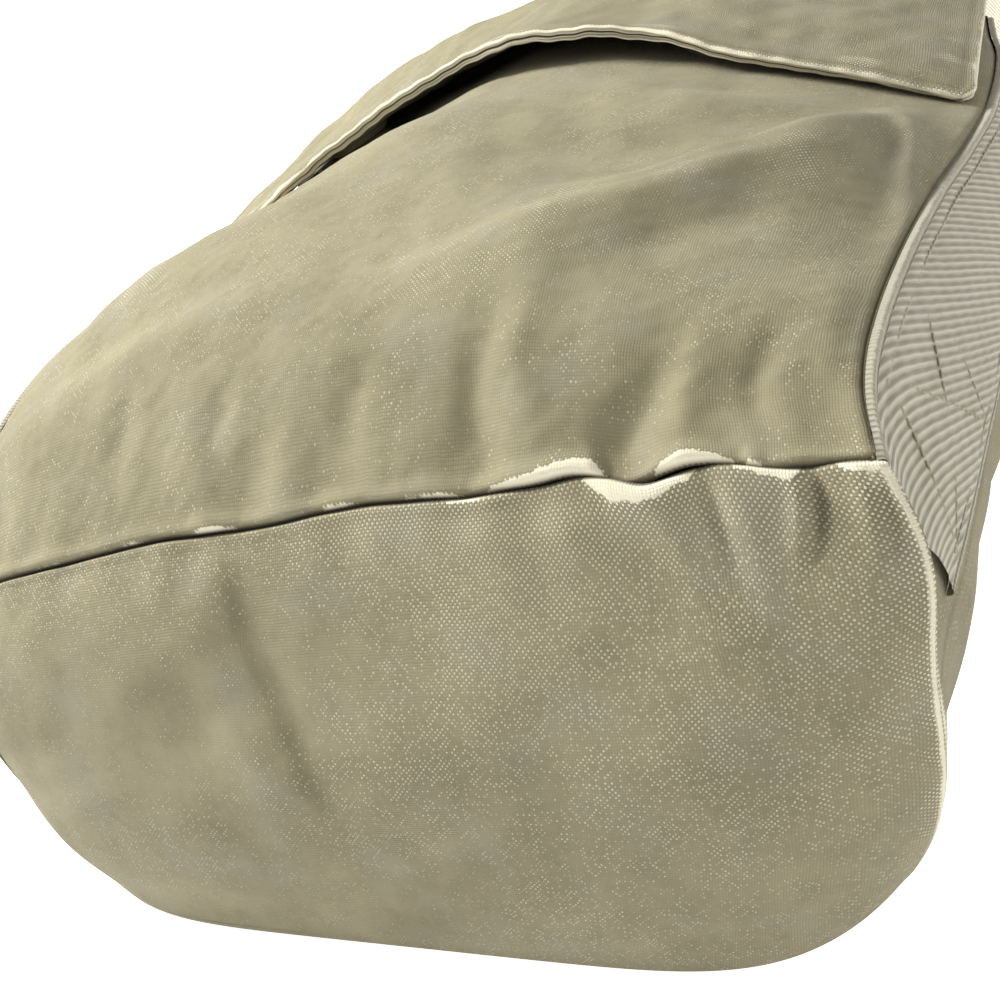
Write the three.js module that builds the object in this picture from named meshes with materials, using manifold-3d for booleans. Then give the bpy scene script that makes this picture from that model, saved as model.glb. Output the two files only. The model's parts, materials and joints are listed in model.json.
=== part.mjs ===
// Canvas messenger bag lying on its back, with its flap closed over the mouth and its shoulder strap laid out behind it.
// Millimetres, +Z up. The bag's bottom faces -Y, its mouth faces +Y and its front panel faces +Z.
// Every cloth piece of the body is a slab cut out of one smooth volume, bagPoint(a, b, c):
//   a runs from the left side (-1) to the right side (+1),
//   b runs from the bottom panel (0) to the mouth (1),
//   c runs from the back panel (0) to the front panel (1).
import * as THREE from 'three';
import Module from 'manifold-3d';
import { mergeVertices } from 'three/addons/utils/BufferGeometryUtils.js';

const wasm = await Module();
wasm.setup();

// ---- driving dimensions, mm ----
const BAG_HEIGHT = 285;
const CANVAS = 1.8;
const SEAM_GAP = 0.3;
const WEBBING_WIDTH = 50;
const WEBBING_THICK = 1.6;
const WEBBING_CLEAR = 0.3;

// Cross-sections of the stuffed bag at stations measured from the bottom seam towards the mouth.
const STATIONS = [0, 15, 31, 69, 114, 146, 181, 231, 260, 285];
const HALF_WIDTH = [133, 130, 130, 132, 137, 142, 147, 148, 145, 143];
const FRONT_EDGE_RIGHT = [119, 125, 128, 124, 118, 113, 109, 103, 100, 97];
const FRONT_EDGE_LEFT = [92, 108, 118, 123, 118, 109, 99, 93, 90, 88];
const FRONT_CROWN = [7.6, 13, 19, 28, 36, 40, 42, 42, 40, 36];
const BACK_LIFT = [0, 0, 0, 0, 0, 0, 0, 8, 20, 35];
const SIDE_SWELL = [9, 13, 16, 17, 15, 13, 11, 5, 2, 0.5];
const BOTTOM_SAG = 45;
const CORNER_SAG = 14;
const BOTTOM_SWELL = 12;
const BACK_CURL = 10;

// Flap: its outer face, from the line where it leaves the back panel to its lower edge.
const FLAP_EDGE_Y = 181;
const FLAP_HINGE = { y: 288, z: 44 };
const FLAP_HALF_TOP = 140;
const FLAP_HALF_LOW = 145;
const FLAP_LIFT = 9.5;
const FLAP_LAYER = 1.6;

// Inside zip pocket on the back panel.
const POCKET_HALF = 75;
const POCKET_LOW = 60;
const POCKET_TOP = 157;
const ZIP_Y = 167;
const ZIP_TAPE_WIDTH = 18;
const ZIP_FLOOR = CANVAS + 0.5;
const ZIP_TAPE_THICK = 0.8;
const ZIP_CHAIN_WIDTH = 4;
const ZIP_CHAIN_HIGH = 1.0;
const SLIDER_X = -60;

// Magnetic closure discs between the front panel and the flap.
const MAGNET_X = 70;
const MAGNET_Y = 205;
const MAGNET_R = 9;
const MAGNET_THICK = 1.4;

// Shoulder strap: an arch of webbing standing on its edge.
const STRAP_X = 150.5;
const STRAP_START_Y = 286;
const STRAP_START_Z = 61.5;
const STRAP_REST_Z = 25.6;
const STRAP_STRAIGHT = 160;
const STRAP_ARCH = 130;
const RING_AT = 37;
const RING_HALF = 7.5;
const RING_WIRE = 1.4;
const ADJUSTER_AT = 135;
const LOOP_RADIUS = 3.4;

// ---- finishes ----
const finish = (color, roughness, metalness) => new THREE.MeshStandardMaterial({ color, roughness, metalness });
const canvasFinish = () => finish(0x968f74, 0.92, 0);
const webbingFinish = () => finish(0xb9b39a, 0.9, 0);
const threadFinish = () => finish(0x8f8a78, 0.8, 0);
const metalFinish = () => finish(0x8a8474, 0.35, 1);

const group = new THREE.Group();

function add(name, geometry, material) {
  const mesh = new THREE.Mesh(geometry, material);
  mesh.name = name;
  group.add(mesh);
  return mesh;
}

// ---- interpolation ----
function sample(values, y) {
  const last = STATIONS.length - 1;
  const t = Math.min(Math.max(y, STATIONS[0]), STATIONS[last]);
  let i = 0;
  while (i < last - 1 && t > STATIONS[i + 1]) i += 1;
  const width = STATIONS[i + 1] - STATIONS[i];
  const slope = (k) => {
    const lo = Math.max(k - 1, 0);
    const hi = Math.min(k + 1, last);
    return (values[hi] - values[lo]) / (STATIONS[hi] - STATIONS[lo]);
  };
  const u = (t - STATIONS[i]) / width;
  const u2 = u * u;
  const u3 = u2 * u;
  const start = (2 * u3 - 3 * u2 + 1) * values[i] + (u3 - 2 * u2 + u) * width * slope(i);
  const end = (3 * u2 - 2 * u3) * values[i + 1] + (u3 - u2) * width * slope(i + 1);
  return start + end;
}

// Half way up, the filling sits right of the middle, so the crown falls away sooner towards the left.
function frontZ(a, y) {
  const edge = THREE.MathUtils.lerp(sample(FRONT_EDGE_LEFT, y), sample(FRONT_EDGE_RIGHT, y), (a + 1) / 2);
  const slack = THREE.MathUtils.smoothstep(y, 60, 170) * (1 - THREE.MathUtils.smoothstep(y, 240, 285));
  const fall = 2.2 - (a < 0 ? 1.0 : 0.5) * slack;
  return edge + sample(FRONT_CROWN, y) * (1 - Math.abs(a) ** fall);
}

function backZ(a, y) {
  return sample(BACK_LIFT, y) + BACK_CURL * Math.abs(a) ** 8;
}

function depth(a, y) {
  return frontZ(a, y) - backZ(a, y);
}

function bagPoint(a, b, c) {
  const y = b * BAG_HEIGHT;
  const swell = 4 * c * (1 - c);
  const x = a * (sample(HALF_WIDTH, y) * (0.965 + 0.035 * c) + sample(SIDE_SWELL, y) * swell);
  const corner = Math.abs(a) ** 6;
  const sag = (BOTTOM_SAG * (1 - corner) + CORNER_SAG * corner) * (1 - c) + BOTTOM_SWELL * swell;
  const z = backZ(a, y) + c * depth(a, y);
  return new THREE.Vector3(x, y - sag * (1 - b) ** 3, z);
}

// ---- solid builders ----
function closedSlab(point, nu, nv) {
  const positions = [];
  const index = [];
  const at = (i, j, w) => (w * (nv + 1) + j) * (nu + 1) + i;
  for (let w = 0; w < 2; w += 1) {
    for (let j = 0; j <= nv; j += 1) {
      for (let i = 0; i <= nu; i += 1) {
        positions.push(...point(i / nu, j / nv, w).toArray());
      }
    }
  }
  const quad = (p, q, r, s) => index.push(p, q, r, p, r, s);
  for (let j = 0; j < nv; j += 1) {
    for (let i = 0; i < nu; i += 1) {
      quad(at(i, j, 0), at(i + 1, j, 0), at(i + 1, j + 1, 0), at(i, j + 1, 0));
      quad(at(i, j, 1), at(i, j + 1, 1), at(i + 1, j + 1, 1), at(i + 1, j, 1));
    }
  }
  for (let i = 0; i < nu; i += 1) {
    quad(at(i, 0, 0), at(i, 0, 1), at(i + 1, 0, 1), at(i + 1, 0, 0));
    quad(at(i, nv, 0), at(i + 1, nv, 0), at(i + 1, nv, 1), at(i, nv, 1));
  }
  for (let j = 0; j < nv; j += 1) {
    quad(at(0, j, 0), at(0, j + 1, 0), at(0, j + 1, 1), at(0, j, 1));
    quad(at(nu, j, 0), at(nu, j, 1), at(nu, j + 1, 1), at(nu, j + 1, 0));
  }
  return outward(positions, index);
}

function outward(positions, index) {
  let volume = 0;
  const p = (k) => new THREE.Vector3().fromArray(positions, index[k] * 3);
  for (let k = 0; k < index.length; k += 3) {
    volume += p(k).dot(p(k + 1).cross(p(k + 2)));
  }
  if (volume < 0) {
    for (let k = 0; k < index.length; k += 3) {
      [index[k], index[k + 1]] = [index[k + 1], index[k]];
    }
  }
  const geometry = new THREE.BufferGeometry();
  geometry.setAttribute('position', new THREE.Float32BufferAttribute(positions, 3));
  geometry.setIndex(index);
  geometry.computeVertexNormals();
  return geometry;
}

function toManifold(geometry) {
  let plain = geometry.clone();
  plain.deleteAttribute('normal');
  plain.deleteAttribute('uv');
  plain = mergeVertices(plain, 1e-4);
  const mesh = new wasm.Mesh({
    numProp: 3,
    vertProperties: new Float32Array(plain.attributes.position.array),
    triVerts: new Uint32Array(plain.index.array),
  });
  return new wasm.Manifold(mesh);
}

function toGeometry(manifold) {
  const mesh = manifold.getMesh();
  const geometry = new THREE.BufferGeometry();
  geometry.setAttribute('position', new THREE.Float32BufferAttribute(mesh.vertProperties, 3));
  geometry.setIndex(new THREE.Uint32BufferAttribute(mesh.triVerts, 1));
  geometry.computeVertexNormals();
  return geometry;
}

function fuse(geometries) {
  return toGeometry(geometries.map(toManifold).reduce((sum, next) => sum.add(next)));
}

function normalOf(surface, u, v) {
  const h = 1e-3;
  const du = surface(u + h, v).sub(surface(u - h, v));
  const dv = surface(u, v + h).sub(surface(u, v - h));
  return du.cross(dv).normalize();
}

// ---- body panels ----
const gapA = SEAM_GAP / 130;
const gapB = SEAM_GAP / BAG_HEIGHT;
const wallB = CANVAS / BAG_HEIGHT;
const wallC = (a, b) => CANVAS / depth(a, b * BAG_HEIGHT);
const gapC = (a, b) => SEAM_GAP / depth(a, b * BAG_HEIGHT);
const wallA = (b) => CANVAS / sample(HALF_WIDTH, b * BAG_HEIGHT);

function facePanel(front) {
  return closedSlab((u, v, w) => {
    const b = gapB + w * wallB + v * (1 - gapB - w * wallB);
    const a = (2 * u - 1) * (1 - gapA - w * wallA(b));
    const step = w * wallC(a, b);
    return bagPoint(a, b, front ? 1 - step : step);
  }, 22, 18);
}

function bottomPanel() {
  return closedSlab((u, v, w) => {
    const b = w * wallB;
    const a = (2 * u - 1) * (1 - gapA - w * wallA(b));
    const inset = gapC(a, b) + w * wallC(a, b);
    return bagPoint(a, b, inset + v * (1 - 2 * inset));
  }, 22, 12);
}

function gusset(side) {
  return closedSlab((u, v, w) => {
    const b = gapB + w * wallB + u * (1 - gapB - w * wallB);
    const a = side * (1 - w * wallA(b));
    const inset = gapC(a, b) + w * wallC(a, b);
    return bagPoint(a, b, inset + v * (1 - 2 * inset));
  }, 18, 12);
}

add('front_panel', facePanel(true), canvasFinish());
add('back_panel', facePanel(false), canvasFinish());
add('bottom_panel', bottomPanel(), canvasFinish());
add('gusset_right', gusset(1), canvasFinish());
add('gusset_left', gusset(-1), canvasFinish());

// ---- side webbing, sewn along the front edge of each gusset ----
function gussetArc(side, b) {
  let length = 0;
  const steps = 16;
  for (let k = 0; k < steps; k += 1) {
    length += bagPoint(side, b, k / steps).distanceTo(bagPoint(side, b, (k + 1) / steps));
  }
  return length;
}

function gussetSurface(side) {
  return (b, across) => bagPoint(side, b, 1 - across / gussetArc(side, b));
}

function onGusset(side, b, across, lift) {
  const surface = gussetSurface(side);
  const safe = Math.min(Math.max(b, 0.002), 0.997);
  const normal = normalOf(surface, safe, Math.max(across, 0.5));
  if (normal.x * side < 0) normal.negate();
  return surface(b, across).addScaledVector(normal, lift);
}

function sideWebbing(side) {
  const start = 0.006;
  return closedSlab((u, v, w) => {
    const b = start + u * (0.999 - start);
    return onGusset(side, b, 0.4 + v * WEBBING_WIDTH, WEBBING_CLEAR + (1 - w) * WEBBING_THICK);
  }, 22, 8);
}

// Box and cross of sewing thread that holds the foot of the webbing.
const BOX = { low: 24, high: 68, near: 6, far: 45, wide: 1.2, high_z: 0.6 };

function stitchLine(side, start, end) {
  const along = new THREE.Vector2(end[0] - start[0], end[1] - start[1]);
  const length = along.length();
  along.normalize();
  const base = WEBBING_CLEAR + WEBBING_THICK + 0.3;
  return closedSlab((u, v, w) => {
    const reach = -BOX.wide / 2 + u * (length + BOX.wide);
    const off = (v - 0.5) * BOX.wide;
    const y = start[0] + along.x * reach - along.y * off;
    const across = start[1] + along.y * reach + along.x * off;
    return onGusset(side, y / BAG_HEIGHT, across, base + (1 - w) * BOX.high_z);
  }, 10, 1);
}

function boxStitch(side) {
  const a = [BOX.low, BOX.near];
  const b = [BOX.low, BOX.far];
  const c = [BOX.high, BOX.far];
  const d = [BOX.high, BOX.near];
  const lines = [[a, b], [b, c], [c, d], [d, a], [a, c], [b, d]];
  return fuse(lines.map(([from, to]) => stitchLine(side, from, to)));
}

for (const [label, side] of [['right', 1], ['left', -1]]) {
  add(`webbing_${label}`, sideWebbing(side), webbingFinish());
  add(`box_stitch_${label}`, boxStitch(side), threadFinish());
}

// ---- hems inside the mouth ----
function mouthFacing(front) {
  return closedSlab((u, v, w) => {
    const b = 0.885 + v * 0.11;
    const y = b * BAG_HEIGHT;
    const a = (2 * u - 1) * (1 - (CANVAS + 1.6) / sample(HALF_WIDTH, y));
    const inset = (CANVAS + 0.9 + w * 1.4) / depth(a, y);
    return bagPoint(a, b, front ? 1 - inset : inset);
  }, 18, 3);
}

add('facing_front', mouthFacing(true), canvasFinish());
add('facing_back', mouthFacing(false), canvasFinish());

// ---- zip pocket inside the back panel ----
function box(x0, x1, y0, y1, z0, z1) {
  const geometry = new THREE.BoxGeometry(x1 - x0, y1 - y0, z1 - z0);
  geometry.translate((x0 + x1) / 2, (y0 + y1) / 2, (z0 + z1) / 2);
  return geometry;
}

const chainTop = ZIP_FLOOR + ZIP_TAPE_THICK + ZIP_CHAIN_HIGH;

add('pocket_panel', box(-POCKET_HALF, POCKET_HALF, POCKET_LOW, POCKET_TOP, ZIP_FLOOR, ZIP_FLOOR + 1.2), canvasFinish());

const zipTape = fuse([
  box(-POCKET_HALF, POCKET_HALF, ZIP_Y - ZIP_TAPE_WIDTH / 2, ZIP_Y + ZIP_TAPE_WIDTH / 2,
    ZIP_FLOOR, ZIP_FLOOR + ZIP_TAPE_THICK),
  box(-POCKET_HALF + 4, POCKET_HALF - 4, ZIP_Y - ZIP_CHAIN_WIDTH / 2, ZIP_Y + ZIP_CHAIN_WIDTH / 2,
    ZIP_FLOOR + 0.2, chainTop),
]);
add('zip_tape', zipTape, finish(0x6f6a56, 0.8, 0));

// Slider: an inverted channel over the chain with a small arch that carries the pull.
const sliderLow = ZIP_FLOOR + ZIP_TAPE_THICK + 0.4;
const sliderTop = sliderLow + 2.5;
const sliderBody = fuse([
  box(-5.5, 5.5, -4.5, 4.5, chainTop + 0.4, sliderTop),
  box(-5.5, 5.5, -4.5, -2.5, sliderLow, sliderTop),
  box(-5.5, 5.5, 2.5, 4.5, sliderLow, sliderTop),
  box(-3.9, -2.7, -0.7, 0.7, sliderTop - 0.5, sliderTop + 3.8),
  box(2.7, 3.9, -0.7, 0.7, sliderTop - 0.5, sliderTop + 3.8),
  box(-3.9, 3.9, -0.7, 0.7, sliderTop + 2.6, sliderTop + 3.8),
]);
add('zip_slider', sliderBody, metalFinish()).position.set(SLIDER_X, ZIP_Y, 0);

const pullShape = new THREE.Shape();
pullShape.moveTo(-0.6, -2.7);
pullShape.lineTo(18, -3.4);
pullShape.absarc(18, 0, 3.4, -Math.PI / 2, Math.PI / 2, false);
pullShape.lineTo(-0.6, 2.7);
pullShape.closePath();
const pullHole = new THREE.Path();
pullHole.moveTo(0.6, -1.6);
pullHole.lineTo(0.6, 1.6);
pullHole.lineTo(5.6, 1.6);
pullHole.lineTo(5.6, -1.6);
pullHole.closePath();
pullShape.holes.push(pullHole);
const pullPlate = new THREE.ExtrudeGeometry(pullShape, { depth: 1, bevelEnabled: false, curveSegments: 8 });
pullPlate.translate(0, 0, -0.5);
add('zip_pull', toGeometry(toManifold(pullPlate)), metalFinish()).position.set(SLIDER_X, ZIP_Y, sliderTop + 1.4);

// ---- flap ----
function flapProfile(a) {
  const front = (y) => frontZ(a * 0.97, y);
  const lift = FLAP_LIFT - 2 * a ** 4;
  const wave = 2.5 * Math.exp(-(((a + 0.15) / 0.3) ** 2));
  const points = [
    [289.5, FLAP_HINGE.z],
    [293.2, 56],
    [294.0, 72],
    [290.0, front(285) + 5.5],
    [277, front(277) + lift + 1],
    [255, front(255) + lift + 0.5],
    [230, front(230) + lift],
    [205, front(205) + lift],
    [FLAP_EDGE_Y, front(FLAP_EDGE_Y) + lift - 0.5 + wave],
  ];
  const curve = new THREE.CatmullRomCurve3(points.map(([y, z]) => new THREE.Vector3(0, y, z)), false, 'centripetal');
  curve.arcLengthDivisions = 60;
  return curve;
}

const flapCache = new Map();

function flapPoint(a, t) {
  const key = a.toFixed(4);
  if (!flapCache.has(key)) flapCache.set(key, flapProfile(a));
  const p = flapCache.get(key).getPointAt(Math.min(Math.max(t, 0), 1));
  const half = THREE.MathUtils.lerp(FLAP_HALF_TOP, FLAP_HALF_LOW, THREE.MathUtils.smoothstep(t, 0.2, 0.5));
  return new THREE.Vector3(a * half, p.y, p.z);
}

function flapNormal(a, t) {
  const h = 0.004;
  const du = flapPoint(a + h, t).sub(flapPoint(a - h, t));
  const dv = flapPoint(a, Math.min(t + h, 1)).sub(flapPoint(a, Math.max(t - h, 0)));
  const normal = dv.cross(du).normalize();
  return normal.y + normal.z < 0 ? normal.negate() : normal;
}

function flapLayer(near, far) {
  return closedSlab((u, v, w) => {
    const a = 2 * u - 1;
    return flapPoint(a, v).addScaledVector(flapNormal(a, v), -(w === 0 ? near : far));
  }, 24, 18);
}

add('flap_outer', flapLayer(0, FLAP_LAYER), canvasFinish());
add('flap_lining', flapLayer(FLAP_LAYER + SEAM_GAP, 2 * FLAP_LAYER + SEAM_GAP), canvasFinish());

// ---- magnetic discs ----
function frontSurface(x, y) {
  return new THREE.Vector3(x, y, frontZ(x / sample(HALF_WIDTH, y), y));
}

function frontNormal(x, y) {
  const h = 0.5;
  const du = frontSurface(x + h, y).sub(frontSurface(x - h, y));
  const dv = frontSurface(x, y + h).sub(frontSurface(x, y - h));
  return du.cross(dv).normalize();
}

function disc(name, x, offset) {
  const geometry = new THREE.CylinderGeometry(MAGNET_R, MAGNET_R, MAGNET_THICK, 28);
  const normal = frontNormal(x, MAGNET_Y);
  const mesh = add(name, geometry, metalFinish());
  mesh.quaternion.setFromUnitVectors(new THREE.Vector3(0, 1, 0), normal);
  mesh.position.copy(frontSurface(x, MAGNET_Y).addScaledVector(normal, offset));
}

for (const [label, side] of [['right', 1], ['left', -1]]) {
  disc(`magnet_body_${label}`, side * MAGNET_X, 0.7 + MAGNET_THICK / 2);
  disc(`magnet_flap_${label}`, side * MAGNET_X, 1.1 + 1.5 * MAGNET_THICK);
}

// ---- shoulder strap ----
const slopeLength = 150;
const slopeBlend = 40;
const slope = (STRAP_START_Z - STRAP_REST_Z) / (slopeLength + slopeBlend / 2);

function strapHeight(s) {
  if (s <= slopeLength) return STRAP_START_Z - slope * s;
  const t = Math.min(s - slopeLength, slopeBlend);
  return STRAP_START_Z - slope * slopeLength - slope * (t - (t * t) / (2 * slopeBlend));
}

// Plan outline of the arch as a fine polyline measured from the left end.
const plan = [];
for (let k = 0; k <= 40; k += 1) {
  plan.push(new THREE.Vector2(-STRAP_X, STRAP_START_Y + (STRAP_STRAIGHT * k) / 40));
}
for (let k = 1; k < 120; k += 1) {
  const angle = Math.PI - (Math.PI * k) / 120;
  plan.push(new THREE.Vector2(
    STRAP_X * Math.cos(angle),
    STRAP_START_Y + STRAP_STRAIGHT + STRAP_ARCH * Math.sin(angle),
  ));
}
for (let k = 40; k >= 0; k -= 1) {
  plan.push(new THREE.Vector2(STRAP_X, STRAP_START_Y + (STRAP_STRAIGHT * k) / 40));
}
const run = [0];
for (let k = 1; k < plan.length; k += 1) {
  run.push(run[k - 1] + plan[k].distanceTo(plan[k - 1]));
}
const STRAP_LENGTH = run[run.length - 1];

function planPoint(s) {
  const t = Math.min(Math.max(s, 0), STRAP_LENGTH);
  let k = 1;
  while (k < run.length - 1 && run[k] < t) k += 1;
  const f = (t - run[k - 1]) / (run[k] - run[k - 1]);
  return plan[k - 1].clone().lerp(plan[k], f);
}

function strapCentre(s) {
  const p = planPoint(s);
  return new THREE.Vector3(p.x, p.y, strapHeight(Math.min(s, STRAP_LENGTH - s)));
}

// Frame of the strap at run s: along, outward from the arch, and across the webbing's width.
function strapFrame(s) {
  const h = 0.5;
  const mid = Math.min(Math.max(s, h), STRAP_LENGTH - h);
  const along = strapCentre(mid + h).sub(strapCentre(mid - h)).normalize();
  const outwardDir = new THREE.Vector3(-along.y, along.x, 0).normalize();
  const across = along.clone().cross(outwardDir).normalize();
  if (across.z < 0) across.negate();
  return { origin: strapCentre(s), along, outwardDir, across };
}

function strapPoint(s, n, v) {
  const frame = strapFrame(s);
  return frame.origin.addScaledVector(frame.outwardDir, n).addScaledVector(frame.across, v);
}

// A ribbon that follows a path drawn in the strap's own (run, outward) plane.
function ribbon(path, halfWidth) {
  const sides = path.map((p, k) => {
    const prev = path[Math.max(k - 1, 0)];
    const next = path[Math.min(k + 1, path.length - 1)];
    const dir = new THREE.Vector2(next[0] - prev[0], next[1] - prev[1]).normalize();
    return [-dir.y * (WEBBING_THICK / 2), dir.x * (WEBBING_THICK / 2)];
  });
  const count = path.length - 1;
  return closedSlab((u, v, w) => {
    const k = Math.round(u * count);
    const flip = w === 0 ? 1 : -1;
    return strapPoint(path[k][0] + flip * sides[k][0], path[k][1] + flip * sides[k][1], (2 * v - 1) * halfWidth);
  }, count, 1);
}

function arcPath(centre, radius, from, to, steps) {
  const points = [];
  for (let k = 0; k <= steps; k += 1) {
    const angle = THREE.MathUtils.degToRad(from + ((to - from) * k) / steps);
    points.push([centre[0] + radius * Math.cos(angle), centre[1] + radius * Math.sin(angle)]);
  }
  return points;
}

const ringFar = RING_AT + RING_HALF;
const ringNear = RING_AT - RING_HALF;
const wrapRadius = 2.4;
const tailLevel = 2 * LOOP_RADIUS;

const longPath = [];
const longSteps = 60;
for (let k = 0; k < longSteps; k += 1) {
  longPath.push([STRAP_LENGTH - ((STRAP_LENGTH - ringFar - 6) * k) / longSteps, 0]);
}
longPath.push([ringFar + 5, 0]);
longPath.push(...arcPath([ringFar, LOOP_RADIUS], LOOP_RADIUS, -90, -270, 8));
longPath.push([ringFar + 12, tailLevel], [ringFar + 45, tailLevel], [ADJUSTER_AT - 8, tailLevel]);
longPath.push(...arcPath([ADJUSTER_AT, tailLevel - wrapRadius], wrapRadius, 90, -90, 8));
longPath.push([ADJUSTER_AT - 10, tailLevel - 2 * wrapRadius], [ADJUSTER_AT - 20, tailLevel - 2 * wrapRadius]);
add('strap_long', ribbon(longPath, WEBBING_WIDTH / 2), webbingFinish());

const shortPath = [[0, 0], [10, 0], [20, 0], [ringNear - 4, 0]];
shortPath.push(...arcPath([ringNear, LOOP_RADIUS], LOOP_RADIUS, -90, 90, 8));
shortPath.push([ringNear - 5, tailLevel - 0.6], [ringNear - 10, tailLevel - 2.4], [ringNear - 15, 2.9]);
shortPath.push([ringNear - 20, 2.3], [3, 2.2]);
add('strap_short', ribbon(shortPath, WEBBING_WIDTH / 2), webbingFinish());

// Closed wire loop through the two folded webbing ends.
function closedTube(points, radius, segments) {
  const positions = [];
  const index = [];
  const count = points.length;
  for (let k = 0; k < count; k += 1) {
    const prev = points[(k + count - 1) % count];
    const next = points[(k + 1) % count];
    const dir = next.clone().sub(prev).normalize();
    const side = points.normal.clone();
    const up = dir.clone().cross(side).normalize();
    for (let m = 0; m < segments; m += 1) {
      const angle = (2 * Math.PI * m) / segments;
      const p = points[k].clone();
      p.addScaledVector(side, radius * Math.cos(angle)).addScaledVector(up, radius * Math.sin(angle));
      positions.push(p.x, p.y, p.z);
    }
  }
  for (let k = 0; k < count; k += 1) {
    const next = (k + 1) % count;
    for (let m = 0; m < segments; m += 1) {
      const m2 = (m + 1) % segments;
      index.push(k * segments + m, next * segments + m, next * segments + m2);
      index.push(k * segments + m, next * segments + m2, k * segments + m2);
    }
  }
  return outward(positions, index);
}

function roundedLoop(centre, halfRun, halfWide, corner, level) {
  const points = [];
  const corners = [[1, 1, 0], [-1, 1, 90], [-1, -1, 180], [1, -1, 270]];
  for (const [sx, sy, start] of corners) {
    for (let k = 0; k <= 4; k += 1) {
      const angle = THREE.MathUtils.degToRad(start + (90 * k) / 4);
      const s = centre + sx * (halfRun - corner) + corner * Math.cos(angle);
      const v = sy * (halfWide - corner) + corner * Math.sin(angle);
      points.push(strapPoint(s, level, v));
    }
  }
  points.normal = strapFrame(centre).outwardDir;
  return points;
}

add('strap_ring', closedTube(roundedLoop(RING_AT, RING_HALF, 28, 2.5, LOOP_RADIUS), RING_WIRE, 10), metalFinish());

// Bowed three-bar slider: its middle bar carries the strap's folded end, its outer bars hold the running strap.
function strapBar(s, n, radius, halfWide) {
  const bar = new THREE.CylinderGeometry(radius, radius, 2 * halfWide, 14);
  const frame = strapFrame(s);
  const turn = new THREE.Quaternion().setFromUnitVectors(new THREE.Vector3(0, 1, 0), frame.across);
  const place = new THREE.Matrix4().compose(strapPoint(s, n, 0), turn, new THREE.Vector3(1, 1, 1));
  return bar.applyMatrix4(place);
}

function adjusterCheek(side) {
  return closedSlab((u, v, w) => {
    const s = ADJUSTER_AT - 12.5 + 25 * u;
    const rise = -3.7 + 9.3 * v;
    return strapPoint(s, rise, side * (27 + 2.4 * w));
  }, 2, 2);
}

add('strap_adjuster', fuse([
  strapBar(ADJUSTER_AT, tailLevel - wrapRadius, 1.2, 28),
  strapBar(ADJUSTER_AT - 11, -2.4, 1.2, 28),
  strapBar(ADJUSTER_AT + 11, -2.4, 1.2, 28),
  adjusterCheek(1),
  adjusterCheek(-1),
]), metalFinish());

export default group;
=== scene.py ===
"""Worn canvas messenger bag, lying on its back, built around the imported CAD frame.

The bag is one smooth stuffed form (BagForm). Each cloth panel is a fine grid laid on that form, with seam
lips, puckers and folds pushed out of it and a wear map stored on its points. Webbing, flap, strap, stitching
and hardware are classes of their own, and every finish is a small frozen class that builds its own shader.
Lengths in the classes are millimetres; meshes are written in metres.
"""

from __future__ import annotations

import json
import logging
import math
from dataclasses import dataclass, field
from enum import Enum
from typing import Callable, Sequence

import bpy
import numpy as np
from mathutils import Matrix, Vector

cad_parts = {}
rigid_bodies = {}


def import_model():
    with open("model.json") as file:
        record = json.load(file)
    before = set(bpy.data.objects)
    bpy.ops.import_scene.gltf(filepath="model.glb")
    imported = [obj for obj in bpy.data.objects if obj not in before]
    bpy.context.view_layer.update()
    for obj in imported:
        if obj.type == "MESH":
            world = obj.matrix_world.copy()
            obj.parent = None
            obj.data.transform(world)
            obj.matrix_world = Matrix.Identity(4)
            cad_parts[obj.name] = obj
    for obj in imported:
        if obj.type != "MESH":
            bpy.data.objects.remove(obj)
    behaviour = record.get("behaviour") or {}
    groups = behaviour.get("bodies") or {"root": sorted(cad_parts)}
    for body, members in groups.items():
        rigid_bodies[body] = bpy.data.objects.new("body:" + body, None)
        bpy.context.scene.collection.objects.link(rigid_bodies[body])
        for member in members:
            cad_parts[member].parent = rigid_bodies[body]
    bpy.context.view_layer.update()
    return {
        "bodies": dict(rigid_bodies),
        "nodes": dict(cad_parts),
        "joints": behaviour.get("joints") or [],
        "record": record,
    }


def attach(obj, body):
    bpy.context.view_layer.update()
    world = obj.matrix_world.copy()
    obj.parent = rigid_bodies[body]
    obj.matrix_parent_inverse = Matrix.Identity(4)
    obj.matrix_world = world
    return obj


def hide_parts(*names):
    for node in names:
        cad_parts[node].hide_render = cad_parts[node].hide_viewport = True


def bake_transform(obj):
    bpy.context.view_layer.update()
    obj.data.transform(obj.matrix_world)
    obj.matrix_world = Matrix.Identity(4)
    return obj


LOG = logging.getLogger("messenger_bag")
MM = 0.001
CLOTH_HALF = 140.0  # half width, in mm, that panel coordinates are drawn on
Array = np.ndarray
Colour = tuple[float, float, float]


class Body(Enum):
    """CAD bodies that visual pieces ride on."""

    BAG = "bag"
    FLAP = "flap"
    STRAP = "strap"


class Slot(Enum):
    """Material slots of the record."""

    CANVAS = "canvas"
    WEBBING = "webbing"
    THREAD = "thread"
    ZIP_TAPE = "zip_tape"
    METAL = "metal"


class Side(Enum):
    """Left or right side of the bag, as the sign of X."""

    RIGHT = 1
    LEFT = -1

    @property
    def label(self) -> str:
        """Name used in piece names."""
        return self.name.lower()


# ----------------------------------------------------------
# Small numeric helpers
# ----------------------------------------------------------


def smoothstep(low: float, high: float, value: Array) -> Array:
    """Hermite step from 0 at low to 1 at high.

    Args:
        low: Value where the step starts.
        high: Value where the step ends.
        value: Values to map.

    Returns:
        Array of values from 0 to 1.
    """
    t = np.clip((np.asarray(value, float) - low) / (high - low), 0.0, 1.0)
    return t * t * (3.0 - 2.0 * t)


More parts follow.
